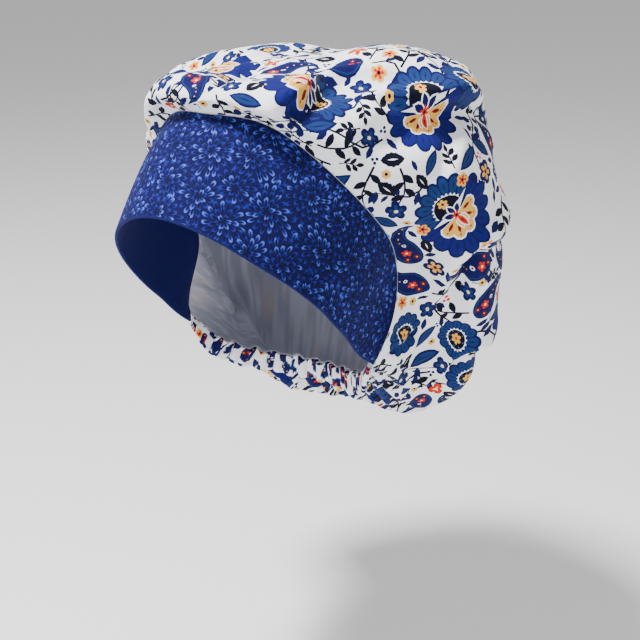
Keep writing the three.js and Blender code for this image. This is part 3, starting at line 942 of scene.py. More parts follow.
def sun_rosette(radius: float) -> Motif:
    """A full rosette of tongues round a dark disc with a zigzag collar.

    Args:
        radius: its outer radius.

    Returns:
        The motif.
    """
    made = Motif(discs=[(0, 0, radius)])
    made.add(Ink.NAVY, scallops(radius, radius * 0.1, 12))
    made.join(tongues(Ink.MID, 12, 0, 360, radius * 0.4, radius * 0.93, Ink.NAVY), 0, (0, 0))
    made.add(Ink.WHITE, star(radius * 0.52, radius * 0.44, 18))
    made.add(Ink.NIGHT, oval(0, 0, radius * 0.42, count=20))
    dots = arc(radius * 0.34, 0, 315, count=8)
    made.add(Ink.STEEL, *[oval(*dot, radius * 0.04, count=5) for dot in dots])
    return made.join(floret(radius * 0.25, 6, Ink.GOLD, Ink.FLAME), 15, (0, 0))


def tulip(length: float) -> Motif:
    """A flame bud between two cream guards.

    Args:
        length: its length in millimetres.

    Returns:
        The motif.
    """
    made = Motif()
    for side in (1, -1):
        made.add(Ink.WHITE, placed(leaf(0, length * 0.94, length * 0.34, 0, side * length * 0.06,
                                        5), side * 17))
        made.add(Ink.GOLD, placed(leaf(0.6, length * 0.86, length * 0.2, 0,
                                       side * length * 0.06, 5), side * 17))
    made.add(Ink.WHITE, leaf(0, length * 1.04, length * 0.42, count=5))
    made.add(Ink.FLAME, leaf(0.5, length * 0.97, length * 0.3, count=5))
    return made.add(Ink.WINE, leaf(length * 0.2, length * 0.8, length * 0.1, count=2))


def fan_palmette() -> Motif:
    """A broad fan of navy lobes over a gold inner fan, with a tulip at its heart.

    Returns:
        The motif.
    """
    made = Motif(discs=[(6, 0, 17), (13, 13, 12), (13, -13, 12)])
    made.add(Ink.NAVY, scallops(27, 4.2, 9, -108, 108))
    made.join(tongues(Ink.ROYAL, 9, -108, 108, 11, 25.6, Ink.NAVY), 0, (0, 0))
    made.add(Ink.WHITE, scallops(15.4, 2.4, 5, -96, 96, 4))
    made.add(Ink.GOLD, scallops(14.3, 2.6, 5, -94, 94, 4))
    for k in range(5):
        turn = -75.2 + 37.6 * k
        made.add(Ink.WINE, leaf(5, 11.4, 2.2, turn, count=3))
        made.add(Ink.NIGHT, oval(*arc(12.3, turn, turn, count=1)[0], 0.6, count=5))
    made.join(tulip(11.5), 0, (-0.5, 0))
    for turn in (128, 180, 232):
        made.add(Ink.WHITE, leaf(0, 8.8, 5, turn, count=4))
        made.add(Ink.NAVY, leaf(0.4, 7.8, 3.4, turn, count=4))
    return made.add(Ink.FLAME, star(3.4, 1.5, 6)).add(Ink.NIGHT, oval(0, 0, 0.9, count=6))


def great_flower() -> Motif:
    """The largest motif: a palmette over a half rosette.

    Returns:
        The motif.
    """
    made = Motif(discs=[(-12, 0, 13), (-19, 9, 8), (-19, -9, 8)])
    made.add(Ink.NAVY, placed(scallops(23, 3, 8, 90, 270), 0, (-5, 0)))
    made.join(tongues(Ink.MID, 8, 90, 270, 9, 21.4, Ink.NAVY), 0, (-5, 0))
    made.add(Ink.WHITE, placed(scallops(10.8, 1.6, 12, 90, 270, 2), 0, (-6, 0)))
    made.add(Ink.NIGHT, placed(scallops(9.2, 0.2, 6, 88, 272, 2), 0, (-6, 0)))
    made.join(floret(3.4, 6, Ink.GOLD, Ink.WINE), 0, (-11, 0))
    return made.join(fan_palmette(), 0, (0, 0))


def paisley(length: float, body: Ink, inner: Ink) -> Motif:
    """A curled drop with an inner outline, florets and a row of dots.

    Args:
        length: its length in millimetres.
        body: ink of the body.
        inner: ink of the inner parts.

    Returns:
        The motif.
    """
    made = Motif()
    size = length / 38
    t = np.array([0, 0.012, 0.04, 0.085, 0.14, 0.22, 0.3, 0.4, 0.5, 0.6, 0.7, 0.8, 0.9, 1])
    bend = np.radians(-150) * np.clip((t - 0.25) / 0.75, 0, 1) ** 1.7
    step = np.diff(t)[:, None] * length * 1.15
    path = np.vstack([[0, 0], np.cumsum(np.stack([np.cos(bend), np.sin(bend)], 1)[:-1] * step, 0)])
    swell = np.sqrt(np.clip(1 - ((0.3 - np.minimum(t, 0.3)) / 0.3) ** 2, 0, 1))
    taper = np.clip(1 - np.clip((t - 0.3) / 0.7, 0, 1) ** 1.15, 0.02, 1)
    along = unit(np.gradient(path, axis=0))
    for ink, inset in ((body, 0), (inner, 1.3), (body, 2.1)):
        half = 0.25 * length * swell * taper - inset * size
        keep = half > 0.05
        side = along[:, ::-1] * [-1, 1] * half[:, None]
        outline = [(path - side)[keep], (path + side)[keep][::-1], [[inset * size, 0]]]
        made.add(ink, np.vstack(outline))
        if inset == 0:
            made.discs += [(*path[s], half[s] + 0.3) for s in (5, 8, 11)]
    made.join(floret(3.4 * size, 5, Ink.FLAME, Ink.CREAM), 10, (11 * size, 0.8))
    made.join(floret(2.1 * size, 5, Ink.WINE, Ink.GOLD), 40, (5.2 * size, -2.8 * size))
    made.join(floret(2.1 * size, 5, Ink.WINE, Ink.GOLD), 0, (5.4 * size, 3.6 * size))
    made.add(Ink.WHITE, oval(17.4 * size, -1.2, 1.5 * size, count=8))
    made.add(body, oval(17.4 * size, -1.2, 0.8 * size, count=6))
    return made.add(Ink.GOLD, *[oval(*path[s], 0.6 * size, count=5) for s in (8, 9, 10, 11)])


def toothed_leaf(length: float, ink: Ink) -> Motif:
    """A dark leaf with a toothed edge and a pale vein.

    Args:
        length: its length in millimetres.
        ink: ink of the leaf.

    Returns:
        The motif.
    """
    t = np.linspace(0, 1, 11)
    side = length * 0.26 * np.sin(math.pi * t) ** 0.8 * (1 + 0.18 * (np.arange(11) % 2))
    outline = np.vstack([np.stack([length * t, -side], 1),
                         np.stack([length * t, side], 1)[::-1][1:-1]])
    made = Motif(discs=[(length * 0.35, 0, length * 0.26), (length * 0.68, 0, length * 0.22)])
    made.add(ink, outline)
    return made.add(Ink.WHITE, leaf(length * 0.28, length * 0.72, length * 0.07, count=2))


def broad_leaf(length: float) -> Motif:
    """A broad navy leaf with a paler inner leaf and a slim vein."""
    made = Motif(discs=[(length * s, 0, length * r) for s, r in ((0.22, 0.15), (0.5, 0.21),
                                                                (0.8, 0.14))])
    made.add(Ink.NAVY, leaf(0, length, length * 0.42, count=7))
    made.add(Ink.MID, leaf(length * 0.1, length * 0.9, length * 0.27, count=5))
    return made.add(Ink.NAVY, leaf(length * 0.18, length * 0.82, length * 0.045, count=2))


def lone_leaf(length: float) -> Motif:
    """A small leaf that fills a gap."""
    made = Motif(discs=[(length * s, 0, length * 0.15) for s in (0.3, 0.7)])
    return made.add(Ink.NAVY, leaf(0, length, length * 0.42, count=3))


def vine(length: float, sway: float) -> Motif:
    """A wandering stem with slim leaves, printed beneath the other motifs.

    Args:
        length: its length in millimetres.
        sway: how far it wanders to each side.

    Returns:
        The motif.
    """
    t = np.linspace(0, 1, 10)
    path = np.stack([length * t, sway * np.sin(2.4 * math.pi * t) * (1 - 0.3 * t)], 1)
    made = Motif().add(Ink.NIGHT, stroke(path, 1.5, 0.8))
    for k, side in ((1, 1), (3, -1), (5, 1), (7, -1)):
        lean = math.degrees(math.atan2(*(path[k + 1] - path[k])[::-1]))
        made.add(Ink.NAVY, placed(leaf(0, 9.5, 4.2, count=3), lean + side * 48, path[k]))
    return made


def berry_sprig() -> Motif:
    """A bent stem with berries on short stalks and two leaves.

    Returns:
        The motif.
    """
    stem = np.stack([np.linspace(0, 17, 5), 2.2 * np.sin(np.linspace(0, 2.2, 5))], 1)
    made = Motif(discs=[(3.5, 1, 3.4), (9, 2.2, 5.2), (15.5, 2, 4.2)])
    made.add(Ink.NIGHT, stroke(stem, 1.1, 0.8))
    berries = ((5, 60, 2.2), (8, -62, 2.5), (11, 52, 2.3), (13.5, -50, 2.2), (16.5, 12, 2.5))
    for x, turn, size in berries:
        root = np.array([x, np.interp(x, stem[:, 0], stem[:, 1])])
        tip = root + arc(4.4, turn, turn, count=1)[0]
        made.add(Ink.NIGHT, stroke(np.array([root, tip]), 0.7, 0.7))
        made.add(Ink.NAVY, oval(*tip, size, count=9))
    return made.add(Ink.NIGHT, placed(leaf(0, 6.5, 3, count=3), 128, (3, 1)),
                    placed(leaf(0, 6, 2.8, count=3), -130, (4.5, 1)))


def leafy_branch(length: float, flip: int, bloom: Motif) -> Motif:
    """A curved branch with paired leaves and a small blossom at its end.

    Args:
        length: its length in millimetres.
        flip: 1 or -1 for the side that it bends to.
        bloom: the blossom at its end.

    Returns:
        The motif.
    """
    t = np.linspace(0, 1, 7)
    path = np.stack([length * t, flip * length * 0.24 * np.sin(math.pi * 0.75 * t)], 1)
    roots = [(length * s, np.interp(length * s, *path.T)) for s in (0.16, 0.34, 0.52, 0.7)]
    made = Motif(discs=[(x, y, 4.6) for x, y in (roots[0], roots[2], roots[3])])
    made.add(Ink.NIGHT, stroke(path, 1.4, 0.9))
    for root, side in zip(roots, (1, -1, 1, -1)):
        made.add(Ink.NIGHT, placed(leaf(0, 8.8, 4.2, count=4), side * 52 + 8 * flip, root))
    return made.join(bloom, 20, (length + 5, path[-1, 1]))


def trefoil() -> Motif:
    """Three flame lobes with a glowing middle."""
    made = Motif(discs=[(0, 0, 5.2)])
    made.add(Ink.WINE, scallops(5.3, 2.6, 3, 30, 390, 7))
    made.add(Ink.FLAME, scallops(4.7, 2.7, 3, 30, 390, 7))
    return made.add(Ink.CREAM, star(2.7, 0.9, 3, 90))


def eye_flower(radius: float) -> Motif:
    """A small gold flower with a dark eye."""
    made = Motif(discs=[(0, 0, radius)])
    made.add(Ink.GOLD, scallops(radius, radius * 0.2, 6, per=3))
    return made.add(Ink.NIGHT, oval(0, 0, radius * 0.36, count=6))


def fir_sprig() -> Motif:
    """A straight stem with five slim dark leaves."""
    made = Motif(discs=[(3, 0, 3), (8.5, 0, 4.2)])
    made.add(Ink.NIGHT, stroke(np.array([[0, 0], [5, 0.3], [10, 0]]), 0.9, 0.5))
    for x, turn in ((2.5, 52), (4, -50), (6, 46), (7.5, -44), (9.5, 2)):
        made.add(Ink.NIGHT, placed(leaf(0, 5.8, 2.8, count=3), turn, (x, 0)))
    return made


def flame_flower() -> Motif:
    """Pointed flame petals round a gold heart.

    Returns:
        The motif.
    """
    made = Motif(discs=[(0, 0, 6.4)])
    for ink, radius, waist in ((Ink.WINE, 7.2, 2.6), (Ink.FLAME, 6.4, 2)):
        turns = np.arange(36) * math.pi / 18
        near = np.abs((np.arange(36) % 6) - 3) / 3
        r = waist + (radius - waist) * near**0.75
        made.add(ink, np.stack([r * np.cos(turns), r * np.sin(turns)], 1))
    return made.add(Ink.GOLD, oval(0, 0, 1.6, count=8)).add(Ink.NIGHT, oval(0, 0, 0.7, count=5))


def trio(ink: Ink) -> Motif:
    """Three loose dots."""
    made = Motif(discs=[(1.2, 1.1, 2.3)])
    return made.add(ink, *[oval(x, y, 1.1, count=6) for x, y in ((0, 0), (2.6, 0.7), (1, 2.6))])


@dataclass
class Inlay:
    """A flat triangulation whose triangles know the topmost printed shape over them."""

    points: Array
    triangles: Array
    top: Array
    border: Array


def inside_outline(places: Array, outline: Array) -> Array:
    """Whether flat places lie inside an outline.

    Args:
        places: flat places.
        outline: a closed outline.

    Returns:
        True for each place inside.
    """
    x, y = places[:, :1], places[:, 1:]
    ax, ay = outline.T
    bx, by = np.roll(outline, -1, 0).T
    spans = (ay > y) != (by > y)
    cross = ax + (y - ay) * (bx - ax) / np.where(by == ay, 1, by - ay)
    return (spans & (x < cross)).sum(1) % 2 == 1


def inlaid(border: Array, shapes: list[Array], extra: Array) -> Inlay:
    """Triangulates a bordered field with shapes let into it.

    Args:
        border: the field's outline, anticlockwise.
        shapes: outlines from the bottom to the top.
        extra: further points of the field.

    Returns:
        The triangles inside the border; top is 0 for the bare field and k + 1 for shape k.
    """
    verts, edges = [], []
    for loop in (border, *shapes):
        start, count = len(verts), len(loop)
        edges += [(start + i, start + (i + 1) % count) for i in range(count)]
        verts += [Vector(p) for p in loop.tolist()]
    verts += [Vector(p) for p in extra.tolist()]
    found = delaunay_2d_cdt(verts, edges, [], 0, 1e-6, True)
    points = np.array([tuple(p) for p in found[0]])
    triangles = np.array(found[2])
    middles = points[triangles].mean(1)
    inside = inside_outline_by_blocks(middles, border)
    triangles, middles = triangles[inside], middles[inside]
    order = np.argsort(middles[:, 0])
    xs, top = middles[order, 0], np.zeros(len(triangles), int)
    for k, shape in enumerate(shapes):
        low, high = shape.min(0), shape.max(0)
        near = order[np.searchsorted(xs, low[0]):np.searchsorted(xs, high[0])]
        y = middles[near, 1]
        near = near[(y > low[1]) & (y < high[1])]
        top[near[inside_outline(middles[near], shape)]] = k + 1
    place = {source: i for i, sources in enumerate(found[3]) for source in sources}
    edge = np.array([place[i] for i in range(len(border))])
    return Inlay(points, triangles, top, edge)


def inside_outline_by_blocks(places: Array, outline: Array) -> Array:
    """Whether many flat places lie inside an outline, worked out in blocks."""
    blocks = np.array_split(places, len(places) // 4000 + 1)
    return np.concatenate([inside_outline(block, outline) for block in blocks])


def apart(flats: Array, at: Array, gap: float) -> Array:
    """The flat points, in order, that keep a gap from those before them.

    Args:
        flats: the flat points.
        at: their places in space.
        gap: the least distance between two in space.

    Returns:
        The flat points kept.
    """
    kept: list[int] = []
    for k, spot in enumerate(at):
        if not kept or np.linalg.norm(at[kept] - spot, axis=1).min() >= gap:
            kept.append(k)
    return flats[kept]


@dataclass
class Layout:
    """Motifs laid over a surface, kept apart by their discs."""

    chart: Chart
    rng: np.random.Generator
    gap: float = 0.7
    spots: Array = field(default_factory=lambda: np.zeros((0, 4)))
    laid: list[tuple[Motif, Array, float]] = field(default_factory=list)

    def try_at(self, motif: Motif, flat: Array, turn: float) -> bool:
        """Lays a motif if it touches no other.

        Args:
            motif: the motif.
            flat: the flat point of its origin.
            turn: its turn in radians.

        Returns:
            Whether there was room.
        """
        discs = np.array(motif.discs, float)
        starts = np.repeat(flat[None], len(discs), 0)
        at = self.chart.at(self.chart.walk(starts, np.full(len(discs), turn), discs[:, :2]))
        if len(self.spots):
            far = np.linalg.norm(self.spots[None, :, :3] - at[:, None], axis=2)
            if (far < self.spots[None, :, 3] + discs[:, 2:] + self.gap).any():
                return False
        self.spots = np.vstack([self.spots, np.column_stack([at, discs[:, 2]])])
        self.laid.append((motif, flat, turn))
        return True

    def fill(self, make: Callable[[], Motif], most: int, places: Array) -> int:
        """Lays up to a number of motifs at the first free places.

        Args:
            make: makes the next motif.
            most: the most to lay.
            places: flat points to try, in order.

        Returns:
            How many were laid.
        """
        count, motif, seen = 0, make(), 0
        at, room = self.chart.at(places), np.full(len(places), np.inf)
        for k in range(len(places)):
            for spot in self.spots[seen:]:
                room = np.minimum(room, np.linalg.norm(at - spot[:3], axis=1) - spot[3])
            seen = len(self.spots)
            core = max(r - math.hypot(x, y) for x, y, r in motif.discs)
            if count >= most:
                break
            if room[k] < max(core, 0) + self.gap:
                continue
            turn = self.rng.uniform(0, 2 * math.pi)
            round_one = len(motif.discs) == 1
            if any(self.try_at(motif, places[k], turn + a) for a in ([0] if round_one else TURNS)):
                count, motif = count + 1, make()
        return count

    def shapes(self) -> list[Shape]:
        """Every printed shape in flat points, walked over the surface in one go.

        Returns:
            The shapes.
        """
        drawn = [(shape, flat, turn) for motif, flat, turn in self.laid for shape in motif.shapes]
        parts = [np.vstack([s.points, np.array(s.axis or ((0, 0), (1, 0)))]) for s, _, _ in drawn]
        counts = [len(part) for part in parts]
        starts = np.repeat([flat for _, flat, _ in drawn], counts, 0)
        turns = np.repeat([turn for _, _, turn in drawn], counts)
        walked = self.chart.walk(starts, turns, np.vstack(parts))
        made = []
        for (shape, _, _), flat in zip(drawn, np.split(walked, np.cumsum(counts)[:-1])):
            axis = tuple(map(tuple, flat[-2:])) if shape.axis else None
            made.append(Shape(flat[:-2], shape.ink, shape.tip_ink, axis))
        return made


def inlay_colours(inlay: Inlay, shapes: list[Shape], ground: Ink) -> Array:
    """The linear colour of each corner of each triangle of an inlay.

    Args:
        inlay: the flat triangulation.
        shapes: the printed shapes.
        ground: ink of the bare cloth.

    Returns:
        Linear colours, three for each triangle.
    """
    inks = np.array([ground.value] + [s.ink.value for s in shapes])
    tips = np.array([ground.value] + [(s.tip_ink or s.ink).value for s in shapes])
    axes = np.array([((0, 0), (1, 0))] + [s.axis or ((0, 0), (1, 0)) for s in shapes], float)
    base, reach = axes[:, 0], axes[:, 1] - axes[:, 0]
    reach = reach / ((reach**2).sum(1, keepdims=True) + 1e-12)
    corner = inlay.points[inlay.triangles]
    share = ((corner - base[inlay.top][:, None]) * reach[inlay.top][:, None]).sum(2)
    share = np.clip(share, 0, 1)[..., None] ** 1.5
    return inks[inlay.top][:, None] * (1 - share) + tips[inlay.top][:, None] * share


# Meshes and finishes.


@dataclass
class Soup:
    """Points, faces, corner colours and weave places gathered into one mesh."""

    points: list[Array] = field(default_factory=list)
    faces: list[Array] = field(default_factory=list)
    colours: list[Array] = field(default_factory=list)
    weave: list[Array] = field(default_factory=list)
    count: int = 0

    def add(self, points: Array, weave: Array) -> int:
        """Adds points in millimetres with their weave places; returns the first's number."""
        start = self.count
        self.points.append(points)
        self.weave.append(weave)
        self.count += len(points)
        return start

    def face(self, faces: Array, colours: Array) -> None:
        """Adds faces as rows of point numbers, with a colour for each corner."""
        self.faces.append(faces)
        self.colours.append(np.broadcast_to(colours, (*faces.shape, 3)).reshape(-1, 3))

    def triangles(self) -> int:
        """How many triangles the faces come to."""
        return sum(len(block) * (block.shape[1] - 2) for block in self.faces)

    def build(self, name: str, material: bpy.types.Material) -> bpy.types.Object:
        """Makes the mesh object, in metres.

        Args:
            name: the object's name.
            material: its only material.

        Returns:
            The linked object.
        """
        points, weave = np.vstack(self.points) * MM, np.vstack(self.weave)
        faces = [row for block in self.faces for row in block.tolist()]
        mesh = bpy.data.meshes.new(name)
        mesh.from_pydata(points.tolist(), [], faces)
        mesh.polygons.foreach_set("use_smooth", [True] * len(mesh.polygons))
        corners = np.concatenate([block.reshape(-1) for block in self.faces])
        ink = mesh.color_attributes.new(INK_LAYER, "FLOAT_COLOR", "CORNER")
        rgba = np.column_stack([np.vstack(self.colours), np.ones(len(corners))])
        ink.data.foreach_set("color", rgba.astype(np.float32).ravel())
        layer = mesh.uv_layers.new(name=WEAVE_LAYER)
        layer.data.foreach_set("uv", weave[corners].astype(np.float32).ravel())
        mesh.materials.append(material)
        mesh.update()
        made = bpy.data.objects.new(name, mesh)
        bpy.context.scene.collection.objects.link(made)
        return made


def grid_faces(columns: int, rows: int, start: int = 0, wrap: bool = False,
               inward: bool = False) -> Array:
    """Four-cornered faces of a grid of points numbered column by column.

    Args:
        columns: columns of the grid.
        rows: rows of the grid.
        start: the number of the first point.
        wrap: whether it closes on itself.
        inward: whether the faces look inwards.

    Returns:
        Point numbers, four to a face.
    """
    i = np.arange(columns if wrap else columns - 1)[:, None]
    j = np.arange(rows - 1)[None]
    a = start + i * rows + j
    b = start + (i + 1) % columns * rows + j
    quads = np.stack([a, b, b + 1, a + 1], -1).reshape(-1, 4)
    return quads[:, ::-1] if inward else quads


@dataclass(frozen=True)
class CottonFinish:
    """A plain-weave cotton: its weave pitch in millimetres and how it takes the light."""

    name: str
    pitch: float = 0.42
    weave_bump: float = 0.25
    crumple: float = 0.3
    roughness: float = 0.82
    sheen: float = 0.03
    fade: float = 0.06

    def material(self) -> bpy.types.Material:
        """Builds the node material.

        Returns:
            A material that reads the ink layer and the weave layer.
        """
        made = bpy.data.materials.new(self.name)
        made.use_nodes = True
        tree = made.node_tree
        shader = tree.nodes["Principled BSDF"]
        ink = self._node(tree, "ShaderNodeVertexColor", layer_name=INK_LAYER)
        place = self._node(tree, "ShaderNodeUVMap", uv_map=WEAVE_LAYER)
        threads = self._threads(tree, place)
        where = self._node(tree, "ShaderNodeTexCoord")
        mottle = self._noise(tree, where.outputs["Object"], 140, 4)
        slubs = self._noise(tree, place.outputs["UV"], 1.6, 2)
        tone = self._sum(tree, (threads, self.fade * 0.9), (mottle, self.fade),
                         (slubs, self.fade * 0.8))
        level = self._math(tree, "SUBTRACT", 1 + self.fade, tone)
        shade = self._node(tree, "ShaderNodeMix", data_type="RGBA", blend_type="MULTIPLY")
        shade.inputs["Factor"].default_value = 1
        tree.links.new(ink.outputs["Color"], shade.inputs[6])
        tree.links.new(level, shade.inputs[7])
        tree.links.new(shade.outputs[2], shader.inputs["Base Color"])
        rough = self._sum(tree, (mottle, 0.12), (threads, 0.06))
        total = self._math(tree, "ADD", self.roughness - 0.09, rough)
        tree.links.new(total, shader.inputs["Roughness"])
        crumple = self._noise(tree, where.outputs["Object"], 95, 3)
        coarse = self._bump(tree, crumple, 0.35 * MM, self.crumple)
        fine = self._bump(tree, threads, 0.05 * MM, self.weave_bump)
        tree.links.new(coarse.outputs["Normal"], fine.inputs["Normal"])
        tree.links.new(fine.outputs["Normal"], shader.inputs["Normal"])
        shader.inputs["Sheen Weight"].default_value = self.sheen
        shader.inputs["Sheen Roughness"].default_value = 0.5
        shader.inputs["Specular IOR Level"].default_value = 0.1
        return made

    @staticmethod
    def _node(tree: bpy.types.NodeTree, kind: str, **settings: object) -> bpy.types.Node:
        """A new node with its settings."""
        node = tree.nodes.new(kind)
        for key, value in settings.items():
            setattr(node, key, value)
        return node

    def _math(self, tree: bpy.types.NodeTree, operation: str, *values: object) -> object:
        """The output of a maths node over numbers and sockets.

        Args:
            tree: the node tree.
            operation: the operation.

        Returns:
            The output socket.
        """
        node = self._node(tree, "ShaderNodeMath", operation=operation)
        for socket, value in zip(node.inputs, values):
            if isinstance(value, (int, float)):
                socket.default_value = value
            else:
                tree.links.new(value, socket)
        return node.outputs[0]

    def _sum(self, tree: bpy.types.NodeTree, *terms: tuple[object, float]) -> object:
        """The sum of sockets, each times a number."""
        total = None
        for socket, factor in terms:
            part = self._math(tree, "MULTIPLY", socket, factor)
            total = part if total is None else self._math(tree, "ADD", total, part)
        return total

    def _noise(self, tree: bpy.types.NodeTree, place: object, scale: float, detail: int) -> object:
        """A noise value at a scale."""
        node = self._node(tree, "ShaderNodeTexNoise")
        tree.links.new(place, node.inputs["Vector"])
        node.inputs["Scale"].default_value = scale
        node.inputs["Detail"].default_value = detail
        return node.outputs["Fac"]

    def _bump(self, tree: bpy.types.NodeTree, height: object, distance: float,
              strength: float) -> bpy.types.Node:
        """A bump node over a height.

        Args:
            tree: the node tree.
            height: the socket of heights.
            distance: its depth in metres.
            strength: its strength.

        Returns:
            The node.
        """
        node = self._node(tree, "ShaderNodeBump")
        node.inputs["Distance"].default_value = distance
        node.inputs["Strength"].default_value = strength
        tree.links.new(height, node.inputs["Height"])
        return node

    def _threads(self, tree: bpy.types.NodeTree, place: bpy.types.Node) -> object:
        """The height of a plain weave, from 0 to 1, over and under both ways.

        Args:
            tree: the node tree.
            place: the socket of places.

        Returns:
            The output socket.
        """
        split = self._node(tree, "ShaderNodeSeparateXYZ")
        tree.links.new(place.outputs["UV"], split.inputs[0])
        turns = math.pi / self.pitch
        waves = [self._math(tree, "SINE", self._math(tree, "MULTIPLY", split.outputs[k], turns))
                 for k in (0, 1)]
        cross = self._math(tree, "MULTIPLY", *waves)
        return self._math(tree, "MULTIPLY_ADD", cross, 0.5, 0.5)


# The pieces.


@dataclass
class Piece:
    """What every piece of the cap shares: its node, its slot and its finish."""

    node: str
    name: str
    slot: str
    finish: CottonFinish
    flat: tuple[float, float]
    area: float
    held: str

    def declare(self, made: bpy.types.Object) -> bpy.types.Object:
        """Ties a piece to its body and hides the node that it stands for."""
        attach(made, "root")
        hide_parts(self.node)
        return made


@dataclass
class CrownPiece(Piece):
    """The printed bouffant crown: an inlaid outer face, a pale wrong side and its hem edge,
    painted dark along the band as shadow in the seam.
    """

    form: CrownForm = None
    columns: int = 720
    spacing: float = 3.5
    clearance: float = 1.25

    def __post_init__(self) -> None:
        """Works out the near-conformal flat disc of the crown."""
        ups = np.linspace(0, 1, 401)
        turns = np.linspace(0, 1, 97)[:-1]
        a, u = np.meshgrid(turns, ups, indexing="ij")
        points = self.form.smooth(a.ravel(), u.ravel()).reshape(*a.shape, 3)
        round_it = np.linalg.norm(np.roll(points, -1, 0) - points, axis=2).sum(0)
        climb = np.linalg.norm(np.diff(points, axis=1), axis=2).mean(0)
        middle = (round_it[1:] + round_it[:-1]) / 2 / (2 * math.pi)
        logs = np.concatenate([[0], -np.cumsum(climb / np.maximum(middle, 0.5))])
        self.ups, self.radii = ups, np.exp(logs)
        self.radii[-1] = 0
        self.flat_scale = self.radii[1:] / np.maximum(middle, 0.5)
        self.reach = np.concatenate([np.cumsum(climb[::-1])[::-1], [0]])

    def to_flat(self, around: Array, up: Array) -> Array:
        """Flat points of shares round and up."""
        r = np.interp(up, self.ups, self.radii)
        angle = 2 * math.pi * around
        return np.stack([r * np.sin(angle), -r * np.cos(angle)], -1)

    def from_flat(self, p: Array) -> tuple[Array, Array]:
        """Shares round and up of flat points."""
        r = np.hypot(p[:, 0], p[:, 1])
        around = np.arctan2(p[:, 0], -p[:, 1]) / (2 * math.pi)
        return around, np.interp(r, self.radii[::-1], self.ups[::-1])

    def weave_place(self, around: Array, up: Array) -> Array:
        """Where points lie in the flat cut, in millimetres."""
        far = np.interp(up, self.ups, self.reach)
        angle = 2 * math.pi * around
        return np.stack([far * np.sin(angle), -far * np.cos(angle)], -1)

    def chart(self) -> Chart:
        """The table of the smooth crown over its flat disc.

        Returns:
            The table.
        """
        axis = np.linspace(-1.12, 1.12, 561)
        x, y = np.meshgrid(axis, axis, indexing="ij")
        p = np.stack([x.ravel(), y.ravel()], 1)
        r = np.hypot(p[:, 0], p[:, 1])
        around, up = self.from_flat(p)
        points = self.form.smooth(around, up)
        inner_up = np.interp(0.97, self.radii[::-1], self.ups[::-1])
        inner = self.form.smooth(around, np.full_like(up, inner_up))
        beyond = np.maximum(r - 1, 0)[:, None] / 0.03
        points = points + (points - inner) * np.where(r[:, None] > 1, beyond, 0)
        return Chart(axis, axis, points.reshape(*x.shape, 3))

    def print_layout(self, chart: Chart) -> Layout:
        """Lays the design of the printed cotton over the crown.

        Args:
            chart: the table of the surface.

        Returns:
            The layout.
        """
        rng = np.random.default_rng(SEED)
        layout = Layout(chart, rng, gap=GREAT_GAP)
        turns, ups = rng.uniform(0, 1, (2, PRINT_TRIES))
        flats = self.to_flat(turns, ups)
        px, py = chart.tangents(flats)
        size = np.linalg.norm(np.cross(px, py), axis=1)
        slope = np.abs(np.interp(ups, self.ups[1:], np.diff(self.radii))) * len(self.ups)
        weight = size * slope * np.hypot(flats[:, 0], flats[:, 1])
        keep = rng.uniform(0, 1, len(weight)) < weight / np.percentile(weight, 99)
        places = flats[keep]
        deep, warm = (Ink.NAVY, Ink.MID, Ink.CREAM), (Ink.GOLD, Ink.FLAME, Ink.NIGHT)
        for flat in apart(places[-VINE_TRIES:], chart.at(places[-VINE_TRIES:]), VINE_GAP):
            motif = vine(rng.uniform(48, 66), rng.choice([-1, 1]) * rng.uniform(5, 8))
            layout.laid.append((motif, flat, rng.uniform(0, 2 * math.pi)))
        for around, up, turn in LEADS:
            flat = self.to_flat(np.array([around]), np.array([up]))[0]
            layout.try_at(great_flower(), flat, math.radians(turn))
        great = layout.fill(great_flower, 10, places[:GREAT_TRIES])
        layout.gap = PRINT_GAP
        makers = (
            (lambda: sun_rosette(rng.uniform(14, 18)), 20),
            (lambda: paisley(rng.uniform(31, 40), Ink.NAVY, Ink.MID), 44),
            (lambda: leafy_branch(rng.uniform(20, 27), rng.choice([-1, 1]), blossom(6.8, *deep)),
             76),
            (lambda: broad_leaf(rng.uniform(17, 25)), 60),
            (lambda: blossom(rng.uniform(6, 7.6), Ink.NAVY, Ink.GOLD, Ink.WINE), 50),
            (berry_sprig, 80),
            (flame_flower, 22),
            (lambda: toothed_leaf(rng.uniform(11, 15), Ink.NIGHT), 60),
            (trefoil, 26),
            (lambda: blossom(rng.uniform(4.4, 5.4), *warm), 40),
            (fir_sprig, 100),
            (lambda: eye_flower(rng.uniform(2.4, 3.2)), 80),
            (lambda: lone_leaf(rng.uniform(7, 11)), 260),
            (lambda: trio(Ink.NAVY), 60),
            (lambda: trio(Ink.FLAME), 40),
        )
        takes = np.array_split(places[GREAT_TRIES:], len(makers))
        counts = [layout.fill(*maker, take) for maker, take in zip(makers, takes)]
        LOG.info("print: %d places, motifs %s", len(places), [great, *counts])
        return layout

    def field_points(self) -> Array:
        """Further points of the field: rows with even steps, finer by the gathers.

        Returns:
            Flat points.
        """
        rows = []
        ups = [0.004]
        while ups[-1] < 0.985:
            u = ups[-1]
            climb = np.interp(u, self.ups[:-1], -np.diff(self.reach) * (len(self.ups) - 1))
            ups.append(u + self.spacing / climb)
        turns = np.linspace(0, 1, 1441)[:-1]
        for k, up in enumerate(ups):
            loop = self.form.smooth(turns, np.full_like(turns, up))
            step = np.linalg.norm(np.roll(loop, -1, 0) - loop, axis=1)
            nape = smooth((turns - 0.34) / 0.05) * smooth((0.66 - turns) / 0.05)
            dense = 1 + 1.1 * nape * math.exp(-((up / 0.2) ** 2))
            total = np.concatenate([[0], np.cumsum(step * dense)])
            count = int(total[-1] / self.spacing)
            at = (np.arange(count) + 0.5 * (k % 2)) / count * total[-1]
            rows.append(self.to_flat(np.interp(at, total, np.append(turns, 1)),
                                     np.full(count, up)))
        return np.vstack(rows + self._crease_points())

